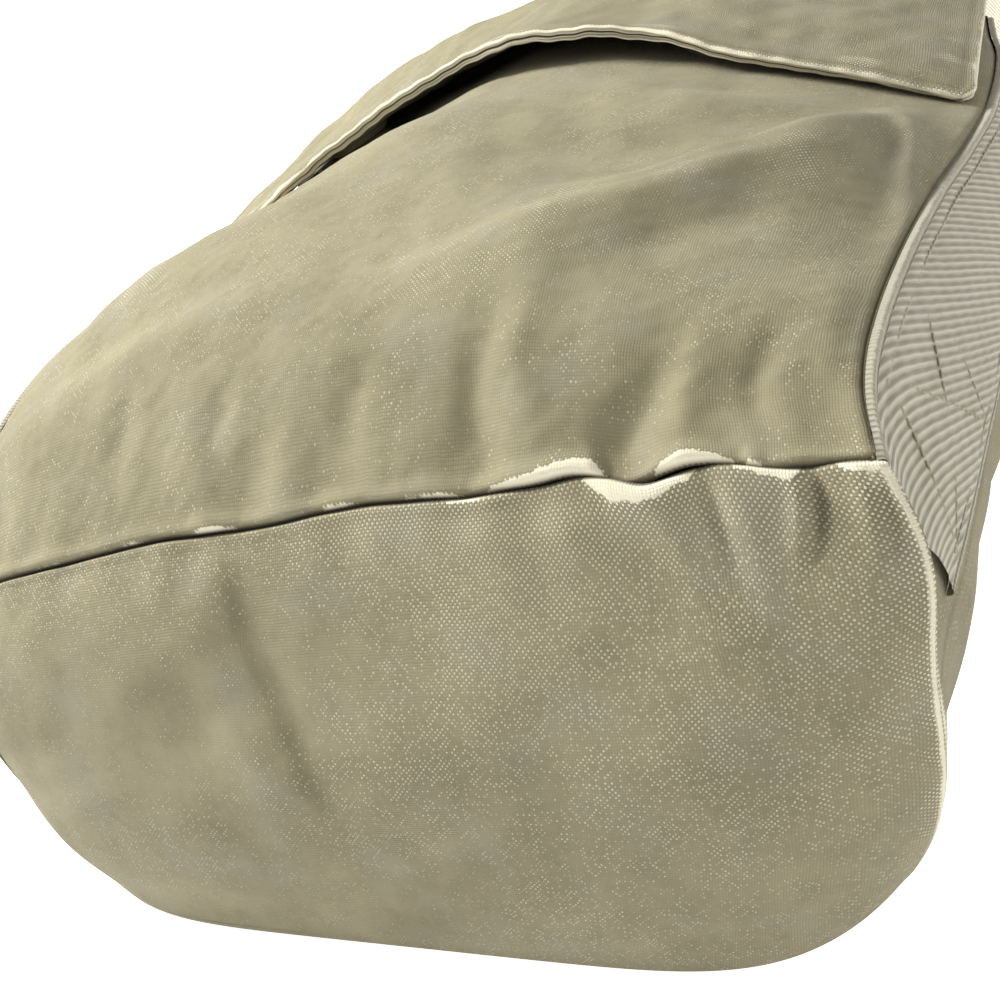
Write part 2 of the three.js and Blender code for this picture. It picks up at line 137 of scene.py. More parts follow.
def bell(value: Array, centre: float, width: float) -> Array:
    """Gaussian bump of height 1 round centre.

    Args:
        value: Values to map.
        centre: Where the bump peaks.
        width: Distance at which it has fallen to 1/e.

    Returns:
        Array of bump heights.
    """
    return np.exp(-(((np.asarray(value, float) - centre) / width) ** 2))


def unit(vectors: Array) -> Array:
    """Scale vectors along the last axis to length 1.

    Args:
        vectors: Array whose last axis holds the components.

    Returns:
        Array of unit vectors.
    """
    length = np.linalg.norm(vectors, axis=-1, keepdims=True)
    return vectors / np.maximum(length, 1e-12)


class SmoothNoise:
    """Repeatable smooth 2-D noise made of a few rotated cosine sheets."""

    def __init__(self, seed: int, wavelength: float, sheets: int = 9) -> None:
        """Draw the sheets.

        Args:
            seed: Random seed.
            wavelength: Typical wavelength in millimetres.
            sheets: Number of cosine sheets.
        """
        rng = np.random.default_rng(seed)
        angle = rng.uniform(0.0, 2.0 * math.pi, sheets)
        rate = 2.0 * math.pi / (wavelength * rng.uniform(0.6, 1.7, sheets))
        self.kx = np.cos(angle) * rate
        self.ky = np.sin(angle) * rate
        self.phase = rng.uniform(0.0, 2.0 * math.pi, sheets)
        self.sheets = sheets

    def __call__(self, x: Array, y: Array) -> Array:
        """Noise of about unit spread at the given points.

        Args:
            x: First coordinates.
            y: Second coordinates.

        Returns:
            Array of noise values, about -1 to 1.
        """
        total = np.zeros(np.broadcast(x, y).shape)
        for kx, ky, phase in zip(self.kx, self.ky, self.phase):
            total += np.cos(kx * x + ky * y + phase)
        return total / math.sqrt(self.sheets)


@dataclass(frozen=True)
class Fold:
    """A soft ridge or valley along a path drawn on a panel, in that panel's own millimetres."""

    path: tuple[tuple[float, float], ...]
    width: float
    height: float
    lean: float = 0.0

    def relief(self, x: Array, y: Array) -> Array:
        """Height that the fold adds.

        Args:
            x: First panel coordinates.
            y: Second panel coordinates.

        Returns:
            Array of heights in millimetres.
        """
        best = np.full(np.broadcast(x, y).shape, 1e9)
        share = np.zeros_like(best)
        offset = np.zeros_like(best)
        count = len(self.path) - 1
        for k in range(count):
            (x0, y0), (x1, y1) = self.path[k], self.path[k + 1]
            dx, dy = x1 - x0, y1 - y0
            length = math.hypot(dx, dy)
            t = np.clip(((x - x0) * dx + (y - y0) * dy) / length**2, 0.0, 1.0)
            away = np.hypot(x - (x0 + t * dx), y - (y0 + t * dy))
            signed = ((x - x0) * dy - (y - y0) * dx) / length
            near = away < best
            best = np.where(near, away, best)
            share = np.where(near, (k + t) / count, share)
            offset = np.where(near, signed, offset)
        width = self.width * (1.0 + self.lean * np.tanh(offset / self.width))
        taper = np.sin(math.pi * np.clip(share * 0.86 + 0.07, 0.0, 1.0))
        return self.height * taper * np.exp(-((best / width) ** 2))


def total_relief(folds: Sequence[Fold], x: Array, y: Array) -> Array:
    """Sum of the folds' heights.

    Args:
        folds: Folds of one panel.
        x: First panel coordinates.
        y: Second panel coordinates.

    Returns:
        Array of heights in millimetres.
    """
    total = np.zeros(np.broadcast(x, y).shape)
    for fold in folds:
        total += fold.relief(x, y)
    return total


# ----------------------------------------------------------
# Mesh building
# ----------------------------------------------------------


@dataclass
class Patch:
    """A grid of points with cloth coordinates and point layers, ready to become a mesh."""

    points: Array
    cloth: Array
    layers: dict[str, Array] = field(default_factory=dict)
    flip: bool = False
    closed_rows: bool = False

    def normals(self) -> Array:
        """Unit normals of the grid, outward once flip is counted.

        Returns:
            Array shaped like points.
        """
        du = np.gradient(self.points, axis=1)
        dv = np.gradient(self.points, axis=0)
        normal = unit(np.cross(du, dv))
        return -normal if self.flip else normal

    def pushed(self, relief: Array) -> "Patch":
        """The same patch with its points moved along their normals.

        Args:
            relief: Distance to move each point, in millimetres.

        Returns:
            A new patch.
        """
        points = self.points + self.normals() * relief[..., None]
        return Patch(points, self.cloth, dict(self.layers), self.flip, self.closed_rows)

    def faces(self) -> Array:
        """Corner numbers of the grid's quads.

        Returns:
            Array of shape (faces, 4).
        """
        rows, columns = self.points.shape[:2]
        index = np.arange(rows * columns).reshape(rows, columns)
        if self.closed_rows:
            index = np.vstack([index, index[:1]])
        quads = np.stack([index[:-1, :-1], index[:-1, 1:], index[1:, 1:], index[1:, :-1]], -1).reshape(-1, 4)
        return quads[:, ::-1] if self.flip else quads


def mesh_object(name: str, patches: Sequence[Patch], material: bpy.types.Material) -> bpy.types.Object:
    """Make one object from one or more patches.

    Args:
        name: Object name.
        patches: Patches whose meshes are joined.
        material: Finish of the object.

    Returns:
        The new object, at the origin.
    """
    points = np.concatenate([p.points.reshape(-1, 3) for p in patches]) * MM
    cloth = np.concatenate([p.cloth.reshape(-1, 2) for p in patches])
    quads, start = [], 0
    for patch in patches:
        quads.append(patch.faces() + start)
        start += patch.points.shape[0] * patch.points.shape[1]
    faces = np.concatenate(quads).astype(np.int32)
    mesh = bpy.data.meshes.new(name)
    mesh.vertices.add(len(points))
    mesh.vertices.foreach_set("co", points.astype(np.float32).ravel())
    mesh.loops.add(faces.size)
    mesh.loops.foreach_set("vertex_index", faces.ravel())
    mesh.polygons.add(len(faces))
    mesh.polygons.foreach_set("loop_start", np.arange(0, faces.size, 4, dtype=np.int32))
    mesh.polygons.foreach_set("use_smooth", np.ones(len(faces), dtype=bool))
    mesh.update(calc_edges=True)
    uv = mesh.uv_layers.new(name="cloth")
    uv.data.foreach_set("uv", cloth[faces.ravel()].astype(np.float32).ravel())
    names = sorted({key for patch in patches for key in patch.layers})
    for key in names:
        parts = []
        for patch in patches:
            shape = patch.points.shape[:2]
            parts.append(np.broadcast_to(patch.layers.get(key, np.zeros(shape)), shape).ravel())
        layer = mesh.attributes.new(key, "FLOAT", "POINT")
        layer.data.foreach_set("value", np.concatenate(parts).astype(np.float32))
    mesh.validate()
    mesh.materials.append(material)
    obj = bpy.data.objects.new(name, mesh)
    bpy.context.scene.collection.objects.link(obj)
    return obj


def sweep(
    centre: Array, side: Array, up: Array, profile: Sequence[tuple[float, float]]
) -> Patch:
    """Sweep a profile along a path.

    Args:
        centre: Path points, shape (n, 3).
        side: Unit vectors for the profile's first coordinate, shape (n, 3).
        up: Unit vectors for the profile's second coordinate, shape (n, 3).
        profile: Profile points in millimetres.

    Returns:
        A patch whose rows go round the profile and whose columns go along the path.
    """
    shape = np.asarray(profile, float)
    points = centre[None] + shape[:, 0, None, None] * side[None] + shape[:, 1, None, None] * up[None]
    run = np.concatenate([[0.0], np.cumsum(np.linalg.norm(np.diff(centre, axis=0), axis=1))])
    girth = np.concatenate([[0.0], np.cumsum(np.linalg.norm(np.diff(shape, axis=0), axis=1))])
    cloth = np.stack(np.broadcast_arrays(run[None, :], girth[:, None]), -1)
    return Patch(points, cloth, {}, False, True)


def resample(path: Array, step: float) -> Array:
    """Space points evenly along a polyline.

    Args:
        path: Points, shape (n, 3).
        step: Wanted spacing in millimetres.

    Returns:
        Evenly spaced points, ends kept.
    """
    run = np.concatenate([[0.0], np.cumsum(np.linalg.norm(np.diff(path, axis=0), axis=1))])
    count = max(int(round(run[-1] / step)), 2)
    at = np.linspace(0.0, run[-1], count + 1)
    return np.stack([np.interp(at, run, path[:, k]) for k in range(3)], -1)


# ----------------------------------------------------------
# The stuffed form
# ----------------------------------------------------------


@dataclass(frozen=True)
class BagForm:
    """Outside of the stuffed bag. a runs left to right, b bottom to mouth, c back to front."""

    height: float = 285.0
    stations: tuple[float, ...] = (0, 15, 31, 69, 114, 146, 181, 231, 260, 285)
    half_width: tuple[float, ...] = (133, 130, 130, 132, 137, 142, 147, 148, 145, 143)
    front_right: tuple[float, ...] = (119, 125, 128, 124, 118, 113, 109, 103, 100, 97)
    front_left: tuple[float, ...] = (92, 108, 118, 123, 118, 109, 99, 93, 90, 88)
    crown: tuple[float, ...] = (7.6, 13, 19, 28, 36, 40, 42, 42, 40, 36)
    back_lift: tuple[float, ...] = (0, 0, 0, 0, 0, 0, 0, 8, 20, 35)
    side_swell: tuple[float, ...] = (9, 13, 16, 17, 15, 13, 11, 5, 2, 0.5)
    bottom_sag: float = 45.0
    corner_sag: float = 14.0
    bottom_swell: float = 12.0
    back_curl: float = 10.0

    def sample(self, values: Sequence[float], y: Array) -> Array:
        """Smooth value at height y of a quantity given at the stations.

        Args:
            values: One value per station.
            y: Heights above the bottom seam.

        Returns:
            Interpolated values.
        """
        at = np.asarray(self.stations, float)
        v = np.asarray(values, float)
        y = np.clip(np.asarray(y, float), at[0], at[-1])
        slope = np.empty_like(v)
        slope[1:-1] = (v[2:] - v[:-2]) / (at[2:] - at[:-2])
        slope[0] = (v[1] - v[0]) / (at[1] - at[0])
        slope[-1] = (v[-1] - v[-2]) / (at[-1] - at[-2])
        i = np.clip(np.searchsorted(at, y, side="left") - 1, 0, len(at) - 2)
        width = at[i + 1] - at[i]
        u = (y - at[i]) / width
        start = (2 * u**3 - 3 * u**2 + 1) * v[i] + (u**3 - 2 * u**2 + u) * width * slope[i]
        end = (3 * u**2 - 2 * u**3) * v[i + 1] + (u**3 - u**2) * width * slope[i + 1]
        return start + end

    def front_z(self, a: Array, y: Array) -> Array:
        """Height of the front panel.

        Args:
            a: Position across, -1 to 1.
            y: Height above the bottom seam.

        Returns:
            Heights above the floor.
        """
        edge = self.sample(self.front_left, y) * (1 - a) / 2 + self.sample(self.front_right, y) * (1 + a) / 2
        slack = smoothstep(60, 170, y) * (1 - smoothstep(240, 285, y))
        fall = 2.2 - np.where(np.asarray(a) < 0, 1.0, 0.5) * slack
        return edge + self.sample(self.crown, y) * (1 - np.abs(a) ** fall)

    def back_z(self, a: Array, y: Array) -> Array:
        """Height of the back panel.

        Args:
            a: Position across, -1 to 1.
            y: Height above the bottom seam.

        Returns:
            Heights above the floor.
        """
        return self.sample(self.back_lift, y) + self.back_curl * np.abs(a) ** 8

    def depth(self, a: Array, y: Array) -> Array:
        """Thickness of the stuffed bag at (a, y)."""
        return self.front_z(a, y) - self.back_z(a, y)

    def point(self, a: Array, b: Array, c: Array) -> Array:
        """Point of the form.

        Args:
            a: Across, -1 to 1.
            b: Bottom to mouth, 0 to 1.
            c: Back to front, 0 to 1.

        Returns:
            Array of points in millimetres.
        """
        a, b, c = np.broadcast_arrays(np.asarray(a, float), np.asarray(b, float), np.asarray(c, float))
        y = b * self.height
        swell = 4 * c * (1 - c)
        half = self.sample(self.half_width, y) * (0.965 + 0.035 * c) + self.sample(self.side_swell, y) * swell
        corner = np.abs(a) ** 6
        sag = (self.bottom_sag * (1 - corner) + self.corner_sag * corner) * (1 - c)
        sag = sag + self.bottom_swell * swell
        z = self.back_z(a, y) + c * self.depth(a, y)
        return np.stack([a * half, y - sag * (1 - b) ** 3, z], -1)

    def gusset_point(self, side: Side, b: Array, across: Array, lift: Array | float) -> Array:
        """Point on or above a gusset, measured across it from its front edge.

        Args:
            side: Which gusset.
            b: Bottom to mouth, 0 to 1.
            across: Distance from the front edge along the gusset.
            lift: Distance above the gusset.

        Returns:
            Array of points in millimetres.
        """
        b, across = np.broadcast_arrays(np.asarray(b, float), np.asarray(across, float))

        def surface(bb: Array, dd: Array) -> Array:
            steps = np.linspace(0.0, 1.0, 17)
            line = self.point(float(side.value), bb[..., None], steps)
            length = np.linalg.norm(np.diff(line, axis=-2), axis=-1).sum(-1)
            return self.point(float(side.value), bb, 1 - dd / length)

        h = 1e-3
        safe = np.clip(b, 0.002, 0.997)
        reach = np.maximum(across, 0.5)
        du = surface(safe + h, reach) - surface(safe - h, reach)
        dv = surface(safe, reach + h) - surface(safe, reach - h)
        normal = unit(np.cross(du, dv))
        normal = normal * np.where(normal[..., :1] * side.value < 0, -1.0, 1.0)
        return surface(b, across) + normal * np.asarray(lift)[..., None]


# ----------------------------------------------------------
# Finishes
# ----------------------------------------------------------


class ShaderDesk:
    """Short calls for laying out one material's nodes."""

    def __init__(self, name: str) -> None:
        """Make an empty material with a Principled surface.

        Args:
            name: Material name.
        """
        self.material = bpy.data.materials.new(name)
        self.material.use_nodes = True
        self.tree = self.material.node_tree
        self.tree.nodes.clear()
        self.surface = self.tree.nodes.new("ShaderNodeBsdfPrincipled")
        output = self.tree.nodes.new("ShaderNodeOutputMaterial")
        self.tree.links.new(self.surface.outputs["BSDF"], output.inputs["Surface"])

    def feed(self, socket: bpy.types.NodeSocket, value: object) -> None:
        """Link a socket to an output, or set it to a constant.

        Args:
            socket: Input socket.
            value: Output socket, number or tuple.
        """
        if isinstance(value, bpy.types.NodeSocket):
            self.tree.links.new(value, socket)
        else:
            socket.default_value = value

    def math(
        self, operation: str, first: object, second: object = 0.0, third: object = 0.0
    ) -> bpy.types.NodeSocket:
        """Add a Math node.

        Args:
            operation: Blender's name of the operation.
            first: First operand.
            second: Second operand.
            third: Third operand.

        Returns:
            The result socket.
        """
        node = self.tree.nodes.new("ShaderNodeMath")
        node.operation = operation
        for socket, value in zip(node.inputs, (first, second, third)):
            self.feed(socket, value)
        return node.outputs[0]

    def ramp(
        self, value: object, low: float, high: float, start: float = 0.0, end: float = 1.0
    ) -> bpy.types.NodeSocket:
        """Map a value smoothly from low-high to start-end, clamped.

        Args:
            value: Value socket.
            low: Input that gives start.
            high: Input that gives end.
            start: Result at low.
            end: Result at high.

        Returns:
            The result socket.
        """
        node = self.tree.nodes.new("ShaderNodeMapRange")
        node.interpolation_type = "SMOOTHSTEP"
        for key, number in (("From Min", low), ("From Max", high), ("To Min", start), ("To Max", end)):
            node.inputs[key].default_value = number
        self.feed(node.inputs["Value"], value)
        return node.outputs["Result"]

    def blend(self, share: object, first: object, second: object, mode: str = "MIX") -> bpy.types.NodeSocket:
        """Mix two colours.

        Args:
            share: Share of the second colour.
            first: First colour.
            second: Second colour.
            mode: Blender's name of the blend mode.

        Returns:
            The colour socket.
        """
        node = self.tree.nodes.new("ShaderNodeMix")
        node.data_type = "RGBA"
        node.blend_type = mode
        self.feed(node.inputs[0], share)
        for socket, value in ((node.inputs[6], first), (node.inputs[7], second)):
            self.feed(socket, (*value, 1.0) if isinstance(value, tuple) and len(value) == 3 else value)
        return node.outputs[2]

    def noise(
        self, vector: object, scale: float, detail: float = 2.0, roughness: float = 0.5
    ) -> bpy.types.NodeSocket:
        """Add a Noise texture.

        Args:
            vector: Coordinates.
            scale: Features per unit of the coordinates.
            detail: Octaves.
            roughness: Strength of the finer octaves.

        Returns:
            The value socket, about 0 to 1.
        """
        node = self.tree.nodes.new("ShaderNodeTexNoise")
        self.feed(node.inputs["Vector"], vector)
        node.inputs["Scale"].default_value = scale
        node.inputs["Detail"].default_value = detail
        node.inputs["Roughness"].default_value = roughness
        return node.outputs["Fac"]

    def chance(self, vector: bpy.types.NodeSocket) -> bpy.types.NodeSocket:
        """Random value that is the same all over one whole-numbered cell.

        Args:
            vector: Whole-numbered coordinates.

        Returns:
            The value socket, 0 to 1.
        """
        node = self.tree.nodes.new("ShaderNodeTexWhiteNoise")
        self.tree.links.new(vector, node.inputs["Vector"])
        return node.outputs["Value"]

    def layer(self, name: str) -> bpy.types.NodeSocket:
        """Read a point layer of the mesh.

        Args:
            name: Layer name.

        Returns:
            The value socket.
        """
        node = self.tree.nodes.new("ShaderNodeAttribute")
        node.attribute_name = name
        return node.outputs["Fac"]

    def body(self, scale: float = 1000.0) -> bpy.types.NodeSocket:
        """Object coordinates, in millimetres by default.

        Args:
            scale: Factor on the coordinates.

        Returns:
            The vector socket.
        """
        node = self.tree.nodes.new("ShaderNodeTexCoord")
        turn = self.tree.nodes.new("ShaderNodeVectorMath")
        turn.operation = "SCALE"
        self.tree.links.new(node.outputs["Object"], turn.inputs[0])
        turn.inputs["Scale"].default_value = scale
        return turn.outputs[0]

    def cloth(self) -> bpy.types.NodeSocket:
        """The piece's own cloth map, in millimetres.

        Returns:
            The vector socket.
        """
        node = self.tree.nodes.new("ShaderNodeUVMap")
        node.uv_map = "cloth"
        return node.outputs["UV"]

    def split(self, vector: bpy.types.NodeSocket) -> tuple[bpy.types.NodeSocket, ...]:
        """Separate a vector.

        Args:
            vector: Vector socket.

        Returns:
            Its x, y and z sockets.
        """
        node = self.tree.nodes.new("ShaderNodeSeparateXYZ")
        self.tree.links.new(vector, node.inputs[0])
        return tuple(node.outputs)

    def join(self, x: object, y: object, z: object = 0.0) -> bpy.types.NodeSocket:
        """Combine three values into a vector.

        Args:
            x: First value.
            y: Second value.
            z: Third value.

        Returns:
            The vector socket.
        """
        node = self.tree.nodes.new("ShaderNodeCombineXYZ")
        for socket, value in zip(node.inputs, (x, y, z)):
            self.feed(socket, value)
        return node.outputs[0]

    def bump(self, height: object, strength: float, distance: float) -> None:
        """Bend the surface's normal by a height.

        Args:
            height: Height socket.
            strength: Share of the effect.
            distance: Size of one unit of height, in metres.
        """
        node = self.tree.nodes.new("ShaderNodeBump")
        node.inputs["Strength"].default_value = strength
        node.inputs["Distance"].default_value = distance
        self.feed(node.inputs["Height"], height)
        self.tree.links.new(node.outputs["Normal"], self.surface.inputs["Normal"])

    def settle(self, **constants: float) -> None:
        """Set constants on the surface, with spaces in names written as underscores."""
        for key, value in constants.items():
            self.surface.inputs[key.replace("_", " ")].default_value = value


@dataclass(frozen=True)
class CanvasFinish:
    """Washed plain-weave duck: two sets of yarns, with pale dots on the crowns for rubbing and for a painted
    sheen, and painted shade in the weave's hollows and along seams.
    """

    name: str = "canvas"
    # dark is the darker yarn tone, and also the colour of the painted shade in the weave's hollows.
    dark: Colour = (0.152, 0.134, 0.078)
    middle: Colour = (0.275, 0.248, 0.155)
    pale: Colour = (0.690, 0.640, 0.490)
    cool: Colour = (0.270, 0.250, 0.205)
    pitch: float = 0.66
    relief: float = 0.00019
    crowns: float = 0.55
    slub: float = 0.38

    def make(self) -> bpy.types.Material:
        """Build the material.

        Returns:
            The new material.
        """
        desk = ShaderDesk(self.name)
        body = desk.body()
        source = desk.cloth()
        x, y, _ = desk.split(source)
        drift = desk.noise(body, 0.06, 2.0)
        ripple = desk.noise(body, 0.31, 2.0)
        x = desk.math("ADD", x, desk.math("MULTIPLY", drift, 3.0))
        y = desk.math("ADD", y, desk.math("MULTIPLY", ripple, 0.8))
        u = desk.math("DIVIDE", x, self.pitch)
        v = desk.math("DIVIDE", y, self.pitch)
        warp = desk.math("COSINE", desk.math("MULTIPLY", u, math.pi))
        weft = desk.math("COSINE", desk.math("MULTIPLY", v, math.pi))
        weave = desk.math("MULTIPLY", warp, weft)
        across = desk.join(desk.math("MULTIPLY", x, 1.5), desk.math("MULTIPLY", y, 0.09))
        along = desk.join(desk.math("MULTIPLY", x, 0.09), desk.math("MULTIPLY", y, 1.5))
        slub_u = desk.noise(across, 1.0, 1.0)
        slub_v = desk.noise(along, 1.0, 1.0)
        fibre = desk.noise(source, 3.2, 3.0, 0.65)
        mottle = desk.noise(body, 0.035, 4.0, 0.6)
        patch = desk.noise(body, 0.16, 4.0, 0.62)
        crown = desk.ramp(weave, 0.05, 0.85)
        weave_hollow_shade = desk.ramp(desk.math("ABSOLUTE", weave), 0.0, 0.45, 1.0, 0.0)
        height = desk.math("MULTIPLY", desk.math("POWER", desk.math("ABSOLUTE", weave), 0.55), 0.8)
        height = desk.math("MULTIPLY_ADD", slub_u, self.slub, height)
        height = desk.math("MULTIPLY_ADD", slub_v, self.slub, height)
        height = desk.math("MULTIPLY_ADD", fibre, 0.55, height)
        tone = desk.math("MULTIPLY_ADD", patch, 0.55, desk.math("MULTIPLY", mottle, 0.75))
        tone = desk.ramp(tone, 0.42, 0.9, 0.10, 0.66)
        colour = desk.blend(tone, self.middle, self.dark)
        colour = desk.blend(desk.ramp(desk.noise(body, 0.05, 3.0), 0.48, 0.68, 0.0, 0.3), colour, self.cool)
        # Painted shade: the hollows between the yarn crowns are darkened towards the dark colour.
        colour = desk.blend(desk.math("MULTIPLY", weave_hollow_shade, 0.34), colour, self.dark)
        wear = desk.layer("wear")
        # Pale dots on the yarn crowns: partly rubbed crowns, and partly a painted sheen highlight where the
        # crowns layer is high.
        shown = desk.math("MULTIPLY", desk.layer("crowns"), self.crowns)
        shown = desk.math("MULTIPLY_ADD", desk.math("SUBTRACT", patch, 0.5), 1.6, shown)
        cell = desk.chance(desk.join(desk.math("ROUND", u), desk.math("ROUND", v)))
        present = desk.ramp(desk.math("ADD", cell, shown), 0.72, 1.45)
        dots = desk.math("MULTIPLY", crown, present)
        dots = desk.math("MULTIPLY", dots, desk.ramp(fibre, 0.30, 0.62, 0.35, 1.0))
        colour = desk.blend(desk.math("MINIMUM", desk.math("MULTIPLY", dots, 0.62), 1.0), colour, self.pale)
        speck = desk.ramp(desk.noise(source, 1.15, 2.0, 0.7), 0.70, 0.80, 0.0, 0.6)
        speck = desk.math("MULTIPLY", speck, desk.math("MULTIPLY_ADD", crown, 0.6, 0.4))
        colour = desk.blend(speck, colour, self.pale)
        rubbed = desk.math("MULTIPLY_ADD", desk.math("SUBTRACT", fibre, 0.5), 0.9, wear)
        rubbed = desk.math("MULTIPLY_ADD", crown, 0.32, rubbed)
        rubbed = desk.math("MULTIPLY_ADD", desk.math("SUBTRACT", patch, 0.5), 0.5, rubbed)
        rubbed = desk.ramp(rubbed, 0.46, 0.86, 0.0, 0.95)
        colour = desk.blend(rubbed, colour, self.pale)
        # Painted shade: the painted-shade layer darkens the colour towards near-black in seams, fold valleys,
        # grooves and gaps beside other parts.
        grime = desk.ramp(desk.layer("grime"), 0.0, 1.0, 0.0, 0.85)
        colour = desk.blend(grime, colour, (0.035, 0.030, 0.018))
        desk.feed(desk.surface.inputs["Base Color"], colour)
        desk.feed(desk.surface.inputs["Roughness"], desk.ramp(fibre, 0.2, 0.8, 0.82, 0.98))
        desk.settle(Sheen_Weight=0.06, Sheen_Roughness=0.6, Specular_IOR_Level=0.12)
        desk.bump(height, 0.9, self.relief)
        return desk.material


@dataclass(frozen=True)
class WebbingFinish:
    """Heavy cotton twill webbing: slanted ribs broken into dashes, with a plain selvedge."""

    name: str = "webbing"
    base: Colour = (0.375, 0.345, 0.258)
    crown: Colour = (0.500, 0.468, 0.370)
    # gap is the colour of the painted shade in the hollows between the ribs and in the selvedge groove.
    gap: Colour = (0.115, 0.100, 0.062)
    pitch: float = 4.7
    slant: float = -2.1
    width: float = 50.0
    selvedge: float = 2.2
    relief: float = 0.00035

    def make(self) -> bpy.types.Material:
        """Build the material.

        Returns:
            The new material.
        """
        desk = ShaderDesk(self.name)
        source = desk.cloth()
        body = desk.body()
        x, y, _ = desk.split(source)
        wobble = desk.noise(source, 0.22, 2.0)
        line = desk.math("ADD", x, desk.math("MULTIPLY", y, self.slant))
        line = desk.math("MULTIPLY_ADD", wobble, 0.9, line)
        wave = desk.math("COSINE", desk.math("MULTIPLY", line, 2.0 * math.pi / self.pitch))
        row = desk.math("FLOOR", desk.math("DIVIDE", line, self.pitch))
        dash = desk.math("MULTIPLY_ADD", row, 1.7, y)
        dash = desk.math("COSINE", desk.math("MULTIPLY", dash, 2.0 * math.pi / 3.6))
        rib = desk.math("MULTIPLY_ADD", dash, 0.14, wave)
        edge = desk.math("ABSOLUTE", desk.math("SUBTRACT", y, self.width / 2))
        border = desk.ramp(edge, self.width / 2 - self.selvedge - 0.35, self.width / 2 - self.selvedge + 0.1)
        inner = desk.ramp(edge, self.width / 2 - self.selvedge, self.width / 2 - 1.5, 1.0, 0.0)
        groove = desk.math("MULTIPLY", border, inner)
        cord = desk.math("COSINE", desk.math("MULTIPLY", x, 2.0 * math.pi / 1.25))
        rib = desk.math("ADD", desk.math("MULTIPLY", rib, desk.math("SUBTRACT", 1.0, border)),
                        desk.math("MULTIPLY", desk.math("MULTIPLY", cord, 0.45), border))
        fibre = desk.noise(source, 3.6, 3.0, 0.7)
        patch = desk.noise(body, 0.07, 4.0, 0.6)
        colour = desk.blend(desk.ramp(rib, 0.1, 1.0), self.base, self.crown)
        # Painted shade: the hollows between the ribs are darkened towards the gap colour.
        rib_hollow_shade = desk.ramp(desk.math("MULTIPLY_ADD", fibre, 0.8, rib), -0.80, 0.05, 0.55, 0.0)
        colour = desk.blend(rib_hollow_shade, colour, self.gap)
        # Painted shade in the groove beside the selvedge.
        colour = desk.blend(desk.math("MULTIPLY", groove, 0.7), colour, self.gap)
        colour = desk.blend(desk.ramp(patch, 0.42, 0.72, 0.0, 0.26), colour, (0.30, 0.272, 0.195))
        rubbed = desk.math("ADD", desk.layer("wear"), desk.math("MULTIPLY_ADD", fibre, 0.5, -0.25))
        colour = desk.blend(desk.ramp(rubbed, 0.25, 0.85, 0.0, 0.85), colour, (0.66, 0.62, 0.50))
        # Painted shade: the painted-shade layer darkens the webbing towards near-black at its edges and its
        # lower end.
        colour = desk.blend(desk.ramp(desk.layer("grime"), 0.0, 1.0, 0.0, 0.85), colour, (0.04, 0.034, 0.02))
        height = desk.math("MULTIPLY_ADD", fibre, 0.7, rib)
        height = desk.math("SUBTRACT", height, desk.math("MULTIPLY", groove, 1.5))
        desk.feed(desk.surface.inputs["Base Color"], colour)
        desk.feed(desk.surface.inputs["Roughness"], desk.ramp(fibre, 0.2, 0.8, 0.78, 0.95))
        desk.settle(Sheen_Weight=0.2, Sheen_Roughness=0.6, Specular_IOR_Level=0.2)
        desk.bump(height, 0.9, self.relief)
        return desk.material


@dataclass(frozen=True)
class ThreadFinish:
    """Twisted cotton thread."""

    name: str = "thread"
    base: Colour = (0.52, 0.48, 0.36)
    shadow: Colour = (0.24, 0.21, 0.14)

    def make(self) -> bpy.types.Material:
        """Build the material.

        Returns:
            The new material.
        """
        desk = ShaderDesk(self.name)
        body = desk.body()
        x, y, z = desk.split(body)
        twist = desk.math("ADD", desk.math("ADD", x, y), z)
        ply = desk.math("COSINE", desk.math("MULTIPLY", twist, 2.0 * math.pi / 0.55))
        fibre = desk.noise(body, 2.5, 3.0)
        colour = desk.blend(desk.ramp(ply, -0.9, 0.3), self.shadow, self.base)
        colour = desk.blend(desk.ramp(fibre, 0.4, 0.75, 0.0, 0.4), colour, self.shadow)
        desk.feed(desk.surface.inputs["Base Color"], colour)
        desk.feed(desk.surface.inputs["Roughness"], desk.ramp(fibre, 0.2, 0.8, 0.7, 0.92))
        desk.bump(desk.math("MULTIPLY_ADD", fibre, 0.5, ply), 0.7, 0.00012)
        return desk.material


@dataclass(frozen=True)
class MetalFinish:
    """Aged nickel plate with fine scratches and dull patches."""

    name: str = "hardware"
    bright: Colour = (0.60, 0.585, 0.55)
    dull: Colour = (0.27, 0.25, 0.21)

    def make(self) -> bpy.types.Material:
        """Build the material.

        Returns:
            The new material.
        """
        desk = ShaderDesk(self.name)
        body = desk.body()
        x, y, z = desk.split(body)
        brushed = desk.join(desk.math("MULTIPLY", x, 4.0), desk.math("MULTIPLY", y, 0.2), z)
        hair = desk.noise(brushed, 1.0, 2.0)
        patch = desk.noise(body, 0.35, 4.0, 0.6)
        colour = desk.blend(desk.ramp(patch, 0.42, 0.68), self.bright, self.dull)
        desk.feed(desk.surface.inputs["Base Color"], colour)
        rough = desk.ramp(desk.math("ADD", hair, patch), 0.7, 1.3, 0.26, 0.55)
        desk.feed(desk.surface.inputs["Roughness"], rough)
        desk.settle(Metallic=1.0)
        desk.bump(hair, 0.25, 0.00006)
        return desk.material


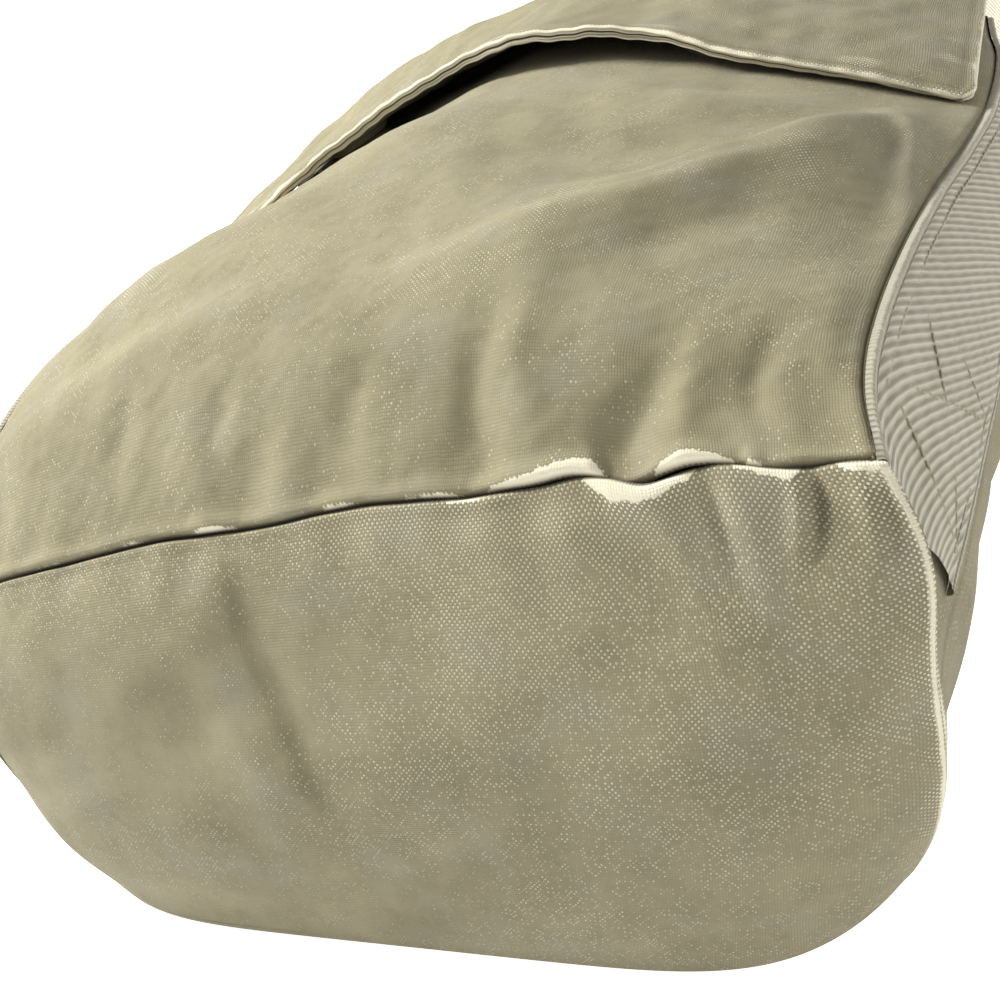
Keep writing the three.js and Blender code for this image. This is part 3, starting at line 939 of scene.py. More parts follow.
@dataclass(frozen=True)
class ZipTapeFinish:
    """Fine herringbone zip tape."""

    name: str = "zip_cloth"
    base: Colour = (0.17, 0.15, 0.10)
    thread: Colour = (0.30, 0.27, 0.20)

    def make(self) -> bpy.types.Material:
        """Build the material.

        Returns:
            The new material.
        """
        desk = ShaderDesk(self.name)
        body = desk.body()
        x, y, _ = desk.split(body)
        band = desk.math("PINGPONG", y, 1.5)
        rib = desk.math("COSINE", desk.math("MULTIPLY", desk.math("ADD", x, band), 2.0 * math.pi / 0.7))
        fibre = desk.noise(body, 3.0, 2.0)
        colour = desk.blend(desk.ramp(rib, -0.5, 0.8), self.base, self.thread)
        desk.feed(desk.surface.inputs["Base Color"], colour)
        desk.feed(desk.surface.inputs["Roughness"], desk.ramp(fibre, 0.2, 0.8, 0.8, 0.95))
        desk.bump(desk.math("MULTIPLY_ADD", fibre, 0.4, rib), 0.6, 0.00012)
        return desk.material


@dataclass(frozen=True)
class FloorFinish:
    """Plain near-white floor."""

    name: str = "floor"
    shade: float = 0.92
    glow: float = 0.8

    def make(self) -> bpy.types.Material:
        """Build the material.

        Returns:
            The new material.
        """
        desk = ShaderDesk(self.name)
        desk.surface.inputs["Base Color"].default_value = (self.shade, self.shade, self.shade, 1.0)
        desk.surface.inputs["Emission Color"].default_value = (1.0, 1.0, 1.0, 1.0)
        desk.settle(Roughness=0.9, Emission_Strength=self.glow)
        return desk.material


@dataclass
class Wardrobe:
    """Every finish, made once."""

    panel: bpy.types.Material
    bottom: bpy.types.Material
    flap: bpy.types.Material
    webbing: bpy.types.Material
    thread: bpy.types.Material
    metal: bpy.types.Material
    zip_tape: bpy.types.Material

    @classmethod
    def sewn(cls) -> "Wardrobe":
        """Make the finishes.

        Returns:
            The filled wardrobe.
        """
        return cls(
            panel=CanvasFinish("canvas_front", crowns=0.42, relief=0.00011).make(),
            # The bottom's heavy crown dots carry rubbed crowns and a painted sheen.
            bottom=CanvasFinish("canvas_bottom", crowns=1.05, pitch=0.68).make(),
            flap=CanvasFinish("canvas_flap", crowns=0.5).make(),
            webbing=WebbingFinish().make(),
            thread=ThreadFinish().make(),
            metal=MetalFinish().make(),
            zip_tape=ZipTapeFinish().make(),
        )


# ----------------------------------------------------------
# Stitches
# ----------------------------------------------------------


@dataclass
class StitchKit:
    """A Geometry Nodes tree that lays thread stitches along drawn lines."""

    material: bpy.types.Material
    _tree: bpy.types.NodeTree | None = None

    def tree(self) -> bpy.types.NodeTree:
        """The stitch tree, built on first use.

        Returns:
            The node group.
        """
        if self._tree is not None:
            return self._tree
        group = bpy.data.node_groups.new("stitches", "GeometryNodeTree")
        face = group.interface
        face.new_socket("Geometry", in_out="INPUT", socket_type="NodeSocketGeometry")
        face.new_socket("Pitch", in_out="INPUT", socket_type="NodeSocketFloat")
        face.new_socket("Stitch", in_out="INPUT", socket_type="NodeSocketVector")
        face.new_socket("Material", in_out="INPUT", socket_type="NodeSocketMaterial")
        face.new_socket("Geometry", in_out="OUTPUT", socket_type="NodeSocketGeometry")
        nodes, links = group.nodes, group.links
        source = nodes.new("NodeGroupInput")
        result = nodes.new("NodeGroupOutput")
        curve = nodes.new("GeometryNodeMeshToCurve")
        spaced = nodes.new("GeometryNodeResampleCurve")
        spaced.mode = "LENGTH"
        links.new(source.outputs["Geometry"], curve.inputs["Mesh"])
        links.new(curve.outputs["Curve"], spaced.inputs["Curve"])
        links.new(source.outputs["Pitch"], spaced.inputs["Length"])
        bead = nodes.new("GeometryNodeMeshUVSphere")
        bead.inputs["Segments"].default_value = 10
        bead.inputs["Rings"].default_value = 7
        bead.inputs["Radius"].default_value = 0.5
        turned = nodes.new("GeometryNodeTransform")
        turned.inputs["Rotation"].default_value = (0.0, math.pi / 2, 0.0)
        links.new(bead.outputs["Mesh"], turned.inputs["Geometry"])
        smooth = nodes.new("GeometryNodeSetShadeSmooth")
        links.new(turned.outputs["Geometry"], smooth.inputs["Geometry"])
        tangent = nodes.new("GeometryNodeInputTangent")
        along = nodes.new("FunctionNodeAlignRotationToVector")
        along.axis = "X"
        links.new(tangent.outputs["Tangent"], along.inputs["Vector"])
        up = nodes.new("GeometryNodeInputNamedAttribute")
        up.data_type = "FLOAT_VECTOR"
        up.inputs["Name"].default_value = "up"
        stand = nodes.new("FunctionNodeAlignRotationToVector")
        stand.axis = "Z"
        stand.pivot_axis = "X"
        links.new(along.outputs["Rotation"], stand.inputs["Rotation"])
        links.new(up.outputs["Attribute"], stand.inputs["Vector"])
        chance = nodes.new("FunctionNodeRandomValue")
        chance.data_type = "FLOAT_VECTOR"
        chance.inputs["Min"].default_value = (0.88, 0.85, 0.8)
        chance.inputs["Max"].default_value = (1.05, 1.15, 1.2)
        chance.inputs["Seed"].default_value = 7
        size = nodes.new("ShaderNodeVectorMath")
        size.operation = "MULTIPLY"
        links.new(chance.outputs["Value"], size.inputs[0])
        links.new(source.outputs["Stitch"], size.inputs[1])
        laid = nodes.new("GeometryNodeInstanceOnPoints")
        links.new(spaced.outputs["Curve"], laid.inputs["Points"])
        links.new(smooth.outputs["Geometry"], laid.inputs["Instance"])
        links.new(stand.outputs["Rotation"], laid.inputs["Rotation"])
        links.new(size.outputs["Vector"], laid.inputs["Scale"])
        real = nodes.new("GeometryNodeRealizeInstances")
        links.new(laid.outputs["Instances"], real.inputs["Geometry"])
        dressed = nodes.new("GeometryNodeSetMaterial")
        links.new(real.outputs["Geometry"], dressed.inputs["Geometry"])
        links.new(source.outputs["Material"], dressed.inputs["Material"])
        links.new(dressed.outputs["Geometry"], result.inputs["Geometry"])
        self._tree = group
        return group

    def sew(
        self, name: str, lines: Sequence[tuple[Array, Array]], pitch: float,
        stitch: tuple[float, float, float],
    ) -> bpy.types.Object:
        """Lay stitches along lines and turn them into one mesh.

        Args:
            name: Object name.
            lines: Pairs of points and upward vectors, in millimetres.
            pitch: Distance from one stitch to the next, in millimetres.
            stitch: Length, width and height of a stitch, in millimetres.

        Returns:
            The finished object.
        """
        points = np.concatenate([p for p, _ in lines]) * MM
        ups = np.concatenate([u for _, u in lines])
        edges, start = [], 0
        for line, _ in lines:
            edges += [(start + k, start + k + 1) for k in range(len(line) - 1)]
            start += len(line)
        mesh = bpy.data.meshes.new(name + "_line")
        mesh.from_pydata([tuple(p) for p in points], edges, [])
        layer = mesh.attributes.new("up", "FLOAT_VECTOR", "POINT")
        layer.data.foreach_set("vector", ups.astype(np.float32).ravel())
        obj = bpy.data.objects.new(name, mesh)
        bpy.context.scene.collection.objects.link(obj)
        modifier = obj.modifiers.new("stitches", "NODES")
        tree = self.tree()
        modifier.node_group = tree
        inputs = {item.name: item.identifier for item in tree.interface.items_tree if item.in_out == "INPUT"}
        modifier[inputs["Pitch"]] = pitch * MM
        modifier[inputs["Stitch"]] = [s * MM for s in stitch]
        modifier[inputs["Material"]] = self.material
        bpy.context.view_layer.update()
        graph = bpy.context.evaluated_depsgraph_get()
        final = bpy.data.meshes.new_from_object(obj.evaluated_get(graph))
        final.name = name
        obj.modifiers.clear()
        obj.data = final
        bpy.data.meshes.remove(mesh)
        return obj


# ----------------------------------------------------------
# Sub-assemblies
# ----------------------------------------------------------


def place(obj: bpy.types.Object, body: Body, slot: Slot, *nodes: str) -> bpy.types.Object:
    """Hand a finished piece to the frame and report it.

    Args:
        obj: The piece.
        body: Body it rides on.
        slot: Material slot it answers to; not used.
        nodes: CAD nodes it stands for.

    Returns:
        The same piece.
    """
    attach(obj, body.value)
    if nodes:
        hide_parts(*nodes)
    LOG.info("%s: %d points on %s", obj.name, len(obj.data.vertices), body.value)
    return obj


def spread(count: int, crowd: float = 0.0) -> Array:
    """Values from 0 to 1, closer together near 0 when crowd is above 0.

    Args:
        count: Number of values.
        crowd: Share of crowding, 0 to 1.

    Returns:
        Array of values.
    """
    t = np.linspace(0.0, 1.0, count)
    return (1 - crowd) * t + crowd * t * t


@dataclass(frozen=True)
class SeamWander:
    """Small waves of the seam between front and bottom, and the rubbed ridges beside it."""

    waves: tuple[tuple[float, float, float], ...] = (
        (86.0, 6.0, -1.9),
        (72.0, 7.0, 1.1),
        (103.0, 7.0, 1.3),
        (119.0, 5.0, -0.9),
        (44.0, 9.0, -0.8),
        (12.0, 12.0, 0.7),
        (-22.0, 12.0, -0.7),
        (-60.0, 14.0, 0.6),
    )
    above: tuple[tuple[float, float, float, float], ...] = (
        (46.0, 77.0, 80.5, 2.9),
        (90.5, 99.0, 111.0, 2.5),
        (112.5, 114.0, 117.5, 1.2),
        (22.0, 38.0, 44.0, 1.1),
        (-2.0, 4.0, 14.0, 0.9),
        (-44.0, -36.0, -26.0, 1.2),
        (-72.0, -66.0, -58.0, 0.8),
        (-112.0, -100.0, -92.0, 0.7),
    )
    below: tuple[tuple[float, float, float, float], ...] = (
        (71.5, 78.0, 98.0, 3.4),
        (104.0, 116.0, 119.0, 1.6),
        (124.0, 131.0, 134.5, 1.7),
        (30.0, 40.0, 52.0, 0.7),
    )

    def shift(self, s: Array, away: Array) -> Array:
        """Movement of points near the seam.

        Args:
            s: Distances across from the middle.
            away: Distances from the seam.

        Returns:
            Vectors in millimetres.
        """
        amount = np.zeros(np.broadcast(s, away).shape)
        for centre, width, height in self.waves:
            amount += height * bell(s, centre, width)
        amount = amount * bell(away, 0.0, 7.5)
        return np.stack([0 * amount, 0.62 * amount, 0.78 * amount], -1)

    @staticmethod
    def height(ridges: Sequence[tuple[float, float, float, float]], s: Array) -> Array:
        """Width of the rubbed ridge at each place along the seam.

        Args:
            ridges: Start, widest place, end and width of each ridge.
            s: Distances across from the middle.

        Returns:
            Widths in millimetres, 0 where there is none.
        """
        total = np.zeros(np.shape(s))
        for start, peak, end, width in ridges:
            rise = np.clip((s - start) / (peak - start), 0, 1)
            fall = np.clip((end - s) / (end - peak), 0, 1)
            shape = np.where(s < peak, rise**0.75, np.sqrt(fall)) * (s > start) * (s < end)
            total = np.maximum(total, width * shape)
        return total


@dataclass
class FrontPanel:
    """Front panel, with its lip over the bottom seam and the soft folds of a stuffed bag."""

    form: BagForm
    columns: int = 300
    rows: int = 280
    tuck: float = 2.4
    closure: tuple[float, float] = (67.0, 205.0)
    folds: tuple[Fold, ...] = (
        Fold(((6, 42), (30, 50), (50, 60), (81, 80), (104, 104), (120, 132), (128, 168)), 14.0, 5.4, 0.45),
        Fold(((48, 76), (74, 88), (96, 108), (112, 130), (124, 156)), 8.0, 4.0, 0.4),
        Fold(((52, 70), (76, 84), (98, 106), (112, 122)), 5.0, -1.8),
        Fold(((119, 150), (125, 132), (131, 104), (134, 84)), 4.6, -1.9, 0.4),
        Fold(((126, 150), (132, 120), (136, 90)), 4.0, 0.9),
        Fold(((-124, 60), (-96, 78), (-60, 96), (-20, 104)), 13.0, 3.6),
        Fold(((-132, 30), (-100, 40), (-62, 44), (-20, 40)), 10.0, 2.4),
        Fold(((-110, 46), (-70, 58), (-30, 66), (10, 60)), 11.0, -2.4),
        Fold(((40, 160), (70, 146), (100, 146)), 11.0, 2.6),
        Fold(((0, 128), (30, 112), (62, 112), (92, 134)), 12.0, -3.2),
        Fold(((-60, 150), (-20, 136), (20, 134)), 14.0, 2.2),
        Fold(((70, 52), (92, 66), (110, 84)), 10.0, -2.6),
        Fold(((77, 3), (84, 7), (92, 14), (96, 24)), 6.0, -3.0),
        Fold(((52, 1), (46, 12), (48, 30)), 4.5, -1.6),
        Fold(((64, 10), (58, 22), (60, 38)), 5.0, 1.4),
        Fold(((98, 6), (102, 16), (106, 32)), 5.0, 1.4),
        Fold(((14, 2), (9, 14), (16, 28)), 5.0, -1.3),
        Fold(((-30, 2), (-36, 16), (-28, 30)), 5.0, -1.3),
        Fold(((-70, 3), (-74, 16), (-66, 34)), 6.0, -1.2),
        Fold(((120, 3), (116, 16), (122, 34)), 4.0, -1.6),
    )
    seam: SeamWander = SeamWander()

    def build(self, wardrobe: Wardrobe) -> bpy.types.Object:
        """Make and place the panel.

        Args:
            wardrobe: Finishes.

        Returns:
            The panel.
        """
        form = self.form
        a = np.linspace(-1.0, 1.0, self.columns)[None, :]
        b = spread(self.rows, 0.55)[:, None]
        s, y = np.broadcast_arrays(a * CLOTH_HALF, b * form.height)
        ridge = self.seam.height(self.seam.above, s)
        broad = SmoothNoise(3, 75.0)(s, y)
        fine = SmoothNoise(5, 21.0)(s, y)
        grain = SmoothNoise(8, 7.0)(s, y * 1.2)
        free = smoothstep(0, 22, y) * smoothstep(0, 10, CLOTH_HALF - np.abs(s))
        relief = free * (broad + 0.22 * fine) + 0.05 * grain * smoothstep(0, 6, y)
        folds = total_relief(self.folds, s, y)
        ripple = SmoothNoise(11, 26.0)(s, y * 0.25)
        lip = (0.7 + 0.62 * ridge) * bell(y, 1.2 + 0.25 * ridge, 1.4 + 0.45 * ridge)
        lip = lip + ripple * bell(y, 7.0, 8.0)
        tuck = -self.tuck * (1 - smoothstep(-0.2, 1.1, y))
        side = -0.9 * (1 - smoothstep(0, 1.6, CLOTH_HALF - np.abs(s)))
        disc_s, disc_y = self.closure
        near = np.minimum(np.hypot(s - disc_s, y - disc_y), np.hypot(s + disc_s, y - disc_y))
        relief = (relief + folds) * smoothstep(12.0, 26.0, near) + lip + tuck + side
        fray = 0.45 * SmoothNoise(17, 3.0)(s, y) + 0.3 * SmoothNoise(19, 7.0)(s, y)
        wear = smoothstep(-0.5, 0.55, ridge + 0.35 * fray - y) * smoothstep(0.15, 0.5, ridge)
        wear = wear * smoothstep(0.1, 0.4, y)
        wear = wear + 0.10 * ridge * bell(y, ridge, 3.0)
        wear = wear + 0.20 * smoothstep(0.8, 2.6, folds) * free
        wear = wear + 0.20 * bell(CLOTH_HALF - np.abs(s), 3.0, 2.5)
        scuff = SmoothNoise(13, 34.0)(s + 0.5 * y, y - 0.3 * s)
        wear = wear + 0.10 * smoothstep(0.3, 1.2, scuff) * free
        # Painted shade: near-black along the bottom seam under the lip, and along the side edges beside the
        # webbing.
        grime = (1 - smoothstep(0.1, 0.75, y)) + 0.7 * (1 - smoothstep(0.1, 1.2, CLOTH_HALF - np.abs(s)))
        crowns = 0.16 + 0.16 * smoothstep(6.0, 40.0, y) + 0.22 * scuff
        points = form.point(a, b, 1.0) + self.seam.shift(s, y)
        layers = {"wear": wear, "grime": grime, "crowns": crowns}
        outer = Patch(points, np.stack([s, y], -1), layers).pushed(relief)
        inner = lining(form, Face.FRONT)
        obj = mesh_object("front_cloth", [outer, inner, mouth_rim(outer, inner)], wardrobe.panel)
        return place(obj, Body.BAG, Slot.CANVAS, "front_panel")


class Face(Enum):
    """Faces of the stuffed form."""

    FRONT = "front"
    BACK = "back"
    BOTTOM = "bottom"
    RIGHT = "right"
    LEFT = "left"


def lining(form: BagForm, face: Face, columns: int = 60, rows: int = 60) -> Patch:
    """Inner side of one panel, a cloth's thickness inside the form.

    Args:
        form: The stuffed form.
        face: Which panel.
        columns: Grid columns.
        rows: Grid rows.

    Returns:
        A patch facing inwards.
    """
    u = np.linspace(0.0, 1.0, columns)[None, :]
    v = np.linspace(0.0, 1.0, rows)[:, None]
    inset = 0.985 - 0.02 * (1 - smoothstep(0.75, 0.86, v))
    if face is Face.FRONT:
        depth = 0.982 - 0.045 * (1 - smoothstep(0.70, 0.86, v)) - 0.03 * (1 - smoothstep(0.0, 0.2, v))
        points = form.point((2 * u - 1) * inset, 0.07 + 0.93 * v, depth)
    elif face is Face.BACK:
        points = form.point((2 * u - 1) * 0.985, v, 0.016)
    elif face is Face.BOTTOM:
        points = form.point((2 * u - 1) * 0.95, 0.034, 0.04 + 0.84 * v)
    else:
        sign = 1.0 if face is Face.RIGHT else -1.0
        inside = 0.022 + 0.05 * (1 - smoothstep(0.80, 0.95, v))
        points = form.point(sign * inset, v, inside + (1 - 2 * inside) * u)
    cloth = np.stack(np.broadcast_arrays(u * 290, v * 285), -1)
    patch = Patch(points, cloth, {"crowns": np.full(points.shape[:2], 0.1)})
    centre = form.point(0.0, 0.5, 0.5)
    facing = ((centre - points) * patch.normals()).sum()
    return Patch(points, cloth, patch.layers, bool(facing < 0))


def mouth_rim(outer: Patch, inner: Patch, steps: int = 6) -> Patch:
    """Rounded fold that closes the mouth's edge between a panel's two sides.

    Args:
        outer: Outside of the panel, its last row at the mouth.
        inner: Inside of the panel, its last row at the mouth.
        steps: Rows of the fold.

    Returns:
        A patch from the outside to the inside.
    """
    first = outer.points[-1]
    share = np.linspace(0.0, 1.0, len(first))
    spots = np.linspace(0.0, 1.0, inner.points.shape[1])
    last = np.stack([np.interp(share, spots, inner.points[-1][:, k]) for k in range(3)], -1)
    t = np.linspace(0.0, 1.0, steps)[:, None, None]
    points = first[None] * (1 - t) + last[None] * t
    points = points + np.array([0.0, 1.1, 0.0]) * np.sin(math.pi * t)
    cloth = np.stack(np.broadcast_arrays(share[None, :] * 290, 285 + 3 * t[..., 0]), -1)
    return Patch(points, cloth, {"wear": np.full(points.shape[:2], 0.5)}, outer.flip)


@dataclass
class BottomPanel:
    """Sagging bottom panel with pleats under the seam and rubbed short edges."""

    form: BagForm
    columns: int = 290
    rows: int = 250
    tuck: float = 2.2
    overhang: float = 4.6
    seam: SeamWander = SeamWander()
    folds: tuple[Fold, ...] = (
        Fold(((-27, 4), (-24, 22), (-13, 46), (-6, 74), (-5, 104)), 5.0, -1.5, 0.4),
        Fold(((-40, 10), (-34, 34), (-24, 60), (-20, 96)), 9.0, 1.4),
        Fold(((98, 0), (100, 8), (102, 20)), 2.0, -1.1),
        Fold(((104, 2), (106, 10), (108, 24)), 3.4, 0.9),
        Fold(((118, 0), (117, 7), (114, 18)), 2.0, 1.5),
        Fold(((121, 0), (120, 7), (117, 17)), 1.6, -2.2),
        Fold(((129, 0), (128, 8), (126, 19)), 2.2, 1.2),
        Fold(((132, 1), (131, 9), (130, 18)), 1.5, -1.0),
        Fold(((88, 4), (90, 14), (96, 30)), 4.0, 0.8),
        Fold(((62, 2), (60, 14), (58, 30)), 6.0, -0.8),
        Fold(((20, 4), (50, 10), (86, 8)), 4.0, 0.8),
        Fold(((-110, 20), (-70, 30), (-30, 26)), 12.0, 1.2),
        Fold(((-100, 60), (-60, 66), (-10, 60), (50, 66)), 16.0, 1.0),
        Fold(((96, 50), (112, 62), (124, 84)), 8.0, -0.9),
    )

    def build(self, wardrobe: Wardrobe) -> bpy.types.Object:
        """Make and place the panel.

        Args:
            wardrobe: Finishes.

        Returns:
            The panel.
        """
        form = self.form
        a = np.linspace(-1.0, 1.0, self.columns)[None, :]
        c = 1.0 - spread(self.rows, 0.5)[::-1, None]
        s, d = np.broadcast_arrays(a * 135.0, (1.0 - c) * 120.0)
        edge = 135.0 - np.abs(s)
        broad = SmoothNoise(23, 60.0)(s, d)
        fine = SmoothNoise(25, 19.0)(s, d)
        free = smoothstep(0, 16, d) * smoothstep(0, 12, edge) * smoothstep(0, 14, 120 - d)
        relief = free * (0.8 * broad + 0.18 * fine)
        folds = total_relief(self.folds, s, d)
        ripple = SmoothNoise(29, 18.0)(s, d * 0.3)
        ridge = self.seam.height(self.seam.below, s)
        lip = (0.45 + 0.32 * ridge) * bell(d, 1.3 + 0.3 * ridge, 1.4 + 0.45 * ridge)
        lip = lip + 0.5 * ripple * bell(d, 6, 8)
        tuck = -self.tuck * (1 - smoothstep(-0.2, 1.0, d))
        side = 0.40 * bell(edge, 1.8, 1.6) - 0.8 * (1 - smoothstep(-0.2, 1.0, edge))
        relief = relief + folds + lip + tuck + side
        points = form.point(a, 0.0, c)
        reach = smoothstep(0.80, 1.0, a) * (bell(c, 0.84, 0.17) + 0.35 * bell(c, 0.3, 0.25))
        points = points + np.stack([self.overhang * reach, 0 * reach, 0 * reach], -1) + self.seam.shift(s, d)
        fray = 0.45 * SmoothNoise(18, 3.0)(s, d) + 0.3 * SmoothNoise(20, 7.0)(s, d)
        wear = smoothstep(-0.9, 0.5, ridge + 0.4 * fray - d) * smoothstep(0.2, 0.6, ridge)
        wear = wear * smoothstep(0.1, 0.35, d)
        wear = wear + 0.13 * ridge * bell(d, ridge, 5.0) + 0.16 * smoothstep(-0.1, 0.4, a) * bell(d, 0.0, 7.0)
        wear = wear + 0.80 * bell(edge, 0.9, 0.9) + 0.28 * bell(edge, 3.5, 4.0)
        wear = wear + 0.15 * smoothstep(0.5, 1.2, folds)
        # Painted shade: dark along the seam and in the valleys of the folds.
        grime = (1 - smoothstep(0.1, 0.7, d)) + 0.35 * smoothstep(0.6, 1.5, -folds)
        # The crowns layer rises on the right of the bottom and near the seam: rubbed crowns, plus a painted
        # sheen on the crowns there.
        spreadout = smoothstep(-0.25, 0.35, a)
        crowns = 0.10 + (0.95 * np.exp(-d / 42.0) + 0.10) * spreadout + 0.35 * bell(d, 0, 10) + 0.12 * broad
        layers = {"wear": wear, "grime": grime, "crowns": np.clip(crowns, 0.0, 1.2)}
        outer = Patch(points, np.stack([s, d], -1), layers).pushed(relief)
        obj = mesh_object("bottom_cloth", [outer, lining(form, Face.BOTTOM)], wardrobe.bottom)
        return place(obj, Body.BAG, Slot.CANVAS, "bottom_panel")


@dataclass
class BackPanel:
    """Back panel, flat where the bag rests on it."""

    form: BagForm
    columns: int = 160
    rows: int = 170

    def build(self, wardrobe: Wardrobe) -> bpy.types.Object:
        """Make and place the panel.

        Args:
            wardrobe: Finishes.

        Returns:
            The panel.
        """
        a = np.linspace(-1.0, 1.0, self.columns)[None, :]
        b = np.linspace(0.0, 1.0, self.rows)[:, None]
        s, y = np.broadcast_arrays(a * CLOTH_HALF, b * self.form.height)
        edge = np.minimum(CLOTH_HALF - np.abs(s), y)
        lift = np.maximum(self.form.back_z(a, b * self.form.height), 0.0)
        free = smoothstep(4.0, 18.0, lift) * smoothstep(0, 12, edge)
        relief = free * 0.9 * SmoothNoise(31, 45.0)(s, y)
        relief = relief - 1.0 * (1 - smoothstep(0, 2.5, edge))
        wear = 0.6 * bell(edge, 2.5, 2.5)
        crowns = 0.25 + 0.2 * SmoothNoise(33, 50.0)(s, y)
        # Painted shade along the panel's edges, at its seams.
        grime = 0.5 * (1 - smoothstep(0, 1.2, edge))
        layers = {"wear": wear, "crowns": crowns, "grime": grime}
        outer = Patch(self.form.point(a, b, 0.0), np.stack([s, y], -1), layers, True).pushed(relief)
        inner = lining(self.form, Face.BACK)
        obj = mesh_object("back_cloth", [outer, inner, mouth_rim(outer, inner)], wardrobe.panel)
        return place(obj, Body.BAG, Slot.CANVAS, "back_panel")


@dataclass
class Gusset:
    """Side panel and the wide webbing sewn down its front edge."""

    form: BagForm
    side: Side
    web_width: float = 50.0
    web_thick: float = 1.6
    web_clear: float = 0.3
    box_low: float = 24.0
    box_high: float = 68.0
    box_near: float = 6.0
    box_far: float = 45.0

    def panel(self, wardrobe: Wardrobe) -> bpy.types.Object:
        """Make the canvas side.

        Args:
            wardrobe: Finishes.

        Returns:
            The panel.
        """
        c = np.linspace(0.0, 1.0, 130)[None, :]
        b = spread(190, 0.3)[:, None]
        y, d = np.broadcast_arrays(b * 285.0, (1 - c) * 110.0)
        bare = smoothstep(52.0, 66.0, d)
        edge = np.minimum(y, 110.0 - d)
        broad = SmoothNoise(41 + self.side.value, 42.0)(d, y)
        relief = bare * smoothstep(0, 10, edge) * smoothstep(0, 14, 285 - y) * 1.3 * broad
        relief = relief + 0.7 * bell(y, 3.0, 2.5) * bare - 1.2 * (1 - smoothstep(0, 2.0, edge))
        wear = 0.75 * bell(y, 2.6, 2.6) + 0.5 * bell(110.0 - d, 3.0, 3.0)
        # Painted shade: dark along the seamed edges, and in a band just beside the webbing's edge where the
        # webbing casts shade.
        grime = 0.7 * (1 - smoothstep(0.1, 1.4, edge)) + 0.4 * bell(d, 51.5, 2.0)
        layers = {"wear": wear, "grime": grime, "crowns": 0.35 + 0.15 * broad}
        flip = self.side is Side.RIGHT
        points = self.form.point(float(self.side.value), b, c)
        outer = Patch(points, np.stack([d, y], -1), layers, flip).pushed(relief)
        inner = lining(self.form, Face.RIGHT if flip else Face.LEFT)
        name = self.side.label
        obj = mesh_object(f"gusset_cloth_{name}", [outer, inner, mouth_rim(outer, inner)], wardrobe.panel)
        return place(obj, Body.BAG, Slot.CANVAS, f"gusset_{name}")

    def webbing(self, wardrobe: Wardrobe) -> bpy.types.Object:
        """Make the webbing.

        Args:
            wardrobe: Finishes.

        Returns:
            The webbing.
        """
        half = self.web_width / 2
        inner = np.linspace(-1.0, 1.0, 66)
        q = np.sign(inner) * half * (1 - (1 - np.abs(inner)) ** 1.35)
        foot = 0.001 + 0.062 * smoothstep(0.10, 1.0, (q + half) / self.web_width)
        b = foot[None, :] + (0.999 - foot[None, :]) * np.linspace(0.0, 1.0, 330)[:, None]
        y, q = np.broadcast_arrays(b * 285.0, q[None, :])
        from_edge = half - np.abs(q)
        crown = np.sqrt(np.clip(1 - (1 - np.minimum(from_edge / 0.9, 1.0)) ** 2, 0, 1))
        lift = self.web_thick * crown
        lift = lift + 0.10 * bell(from_edge, 1.1, 0.8) - 0.22 * bell(from_edge, 2.4, 0.5)
        lift = lift + 0.35 * SmoothNoise(51, 30.0)(y, q) * smoothstep(0, 8, from_edge)
        seam = np.minimum(np.abs(q + half - self.box_near), np.abs(q + half - self.box_far))
        lift = lift - 0.30 * bell(seam, 0.0, 1.2)
        lift = lift + self.web_clear - 0.25 * (1 - crown)
        rub = SmoothNoise(53, 16.0)(y, q)
        fluff = SmoothNoise(55, 2.4)(y, q)
        lift = lift + 0.12 * fluff * bell(from_edge, 0.0, 2.0)
        wear = (0.30 + 0.14 * fluff) * bell(from_edge, 0.7, 1.2) + 0.08 * rub
        points = self.form.gusset_point(self.side, b, q + half + 0.4, lift)
        # Painted shade at the webbing's lower end and along its edges.
        grime = 0.25 * (1 - smoothstep(0, 6, y)) + 0.35 * bell(from_edge, 0.0, 0.35)
        flip = self.side is Side.LEFT
        patch = Patch(points, np.stack([y, q + half], -1), {"wear": wear, "grime": grime}, flip)
        obj = mesh_object(f"side_webbing_{self.side.label}", [patch], wardrobe.webbing)
        return place(obj, Body.BAG, Slot.WEBBING, f"webbing_{self.side.label}")

    def line(self, start: tuple[float, float], end: tuple[float, float]) -> tuple[Array, Array]:
        """Stitch line on the webbing.

        Args:
            start: Height and distance across where it starts.
            end: Height and distance across where it ends.

        Returns:
            Points and upward vectors.
        """
        count = max(int(math.dist(start, end) / 2.0), 3)
        t = np.linspace(0.0, 1.0, count)
        b = (start[0] + (end[0] - start[0]) * t) / self.form.height
        across = start[1] + (end[1] - start[1]) * t
        top = self.web_clear + self.web_thick
        points = self.form.gusset_point(self.side, b, across, top - 0.12)
        above = self.form.gusset_point(self.side, b, across, top + 1.0)
        return points, unit(above - points)

    def stitches(self, kit: StitchKit) -> bpy.types.Object:
        """Sew the box, its cross and the two long rows.

        Args:
            kit: Stitch maker.

        Returns:
            The stitches.
        """
        corner = [
            (self.box_low, self.box_near),
            (self.box_low, self.box_far),
            (self.box_high, self.box_far),
            (self.box_high, self.box_near),
        ]
        lines = [self.line(corner[k], corner[(k + 1) % 4]) for k in range(4)]
        lines += [self.line(corner[0], corner[2]), self.line(corner[1], corner[3])]
        lines += [self.line((self.box_high, self.box_near), (280, self.box_near))]
        lines += [self.line((self.box_high, self.box_far), (280, self.box_far))]
        obj = kit.sew(f"box_thread_{self.side.label}", lines, 3.1, (2.75, 0.8, 0.62))
        return place(obj, Body.BAG, Slot.THREAD, f"box_stitch_{self.side.label}")

    def build(self, wardrobe: Wardrobe, kit: StitchKit) -> list[bpy.types.Object]:
        """Make and place the side's pieces.

        Args:
            wardrobe: Finishes.
            kit: Stitch maker.

        Returns:
            The pieces.
        """
        return [self.panel(wardrobe), self.webbing(wardrobe), self.stitches(kit)]


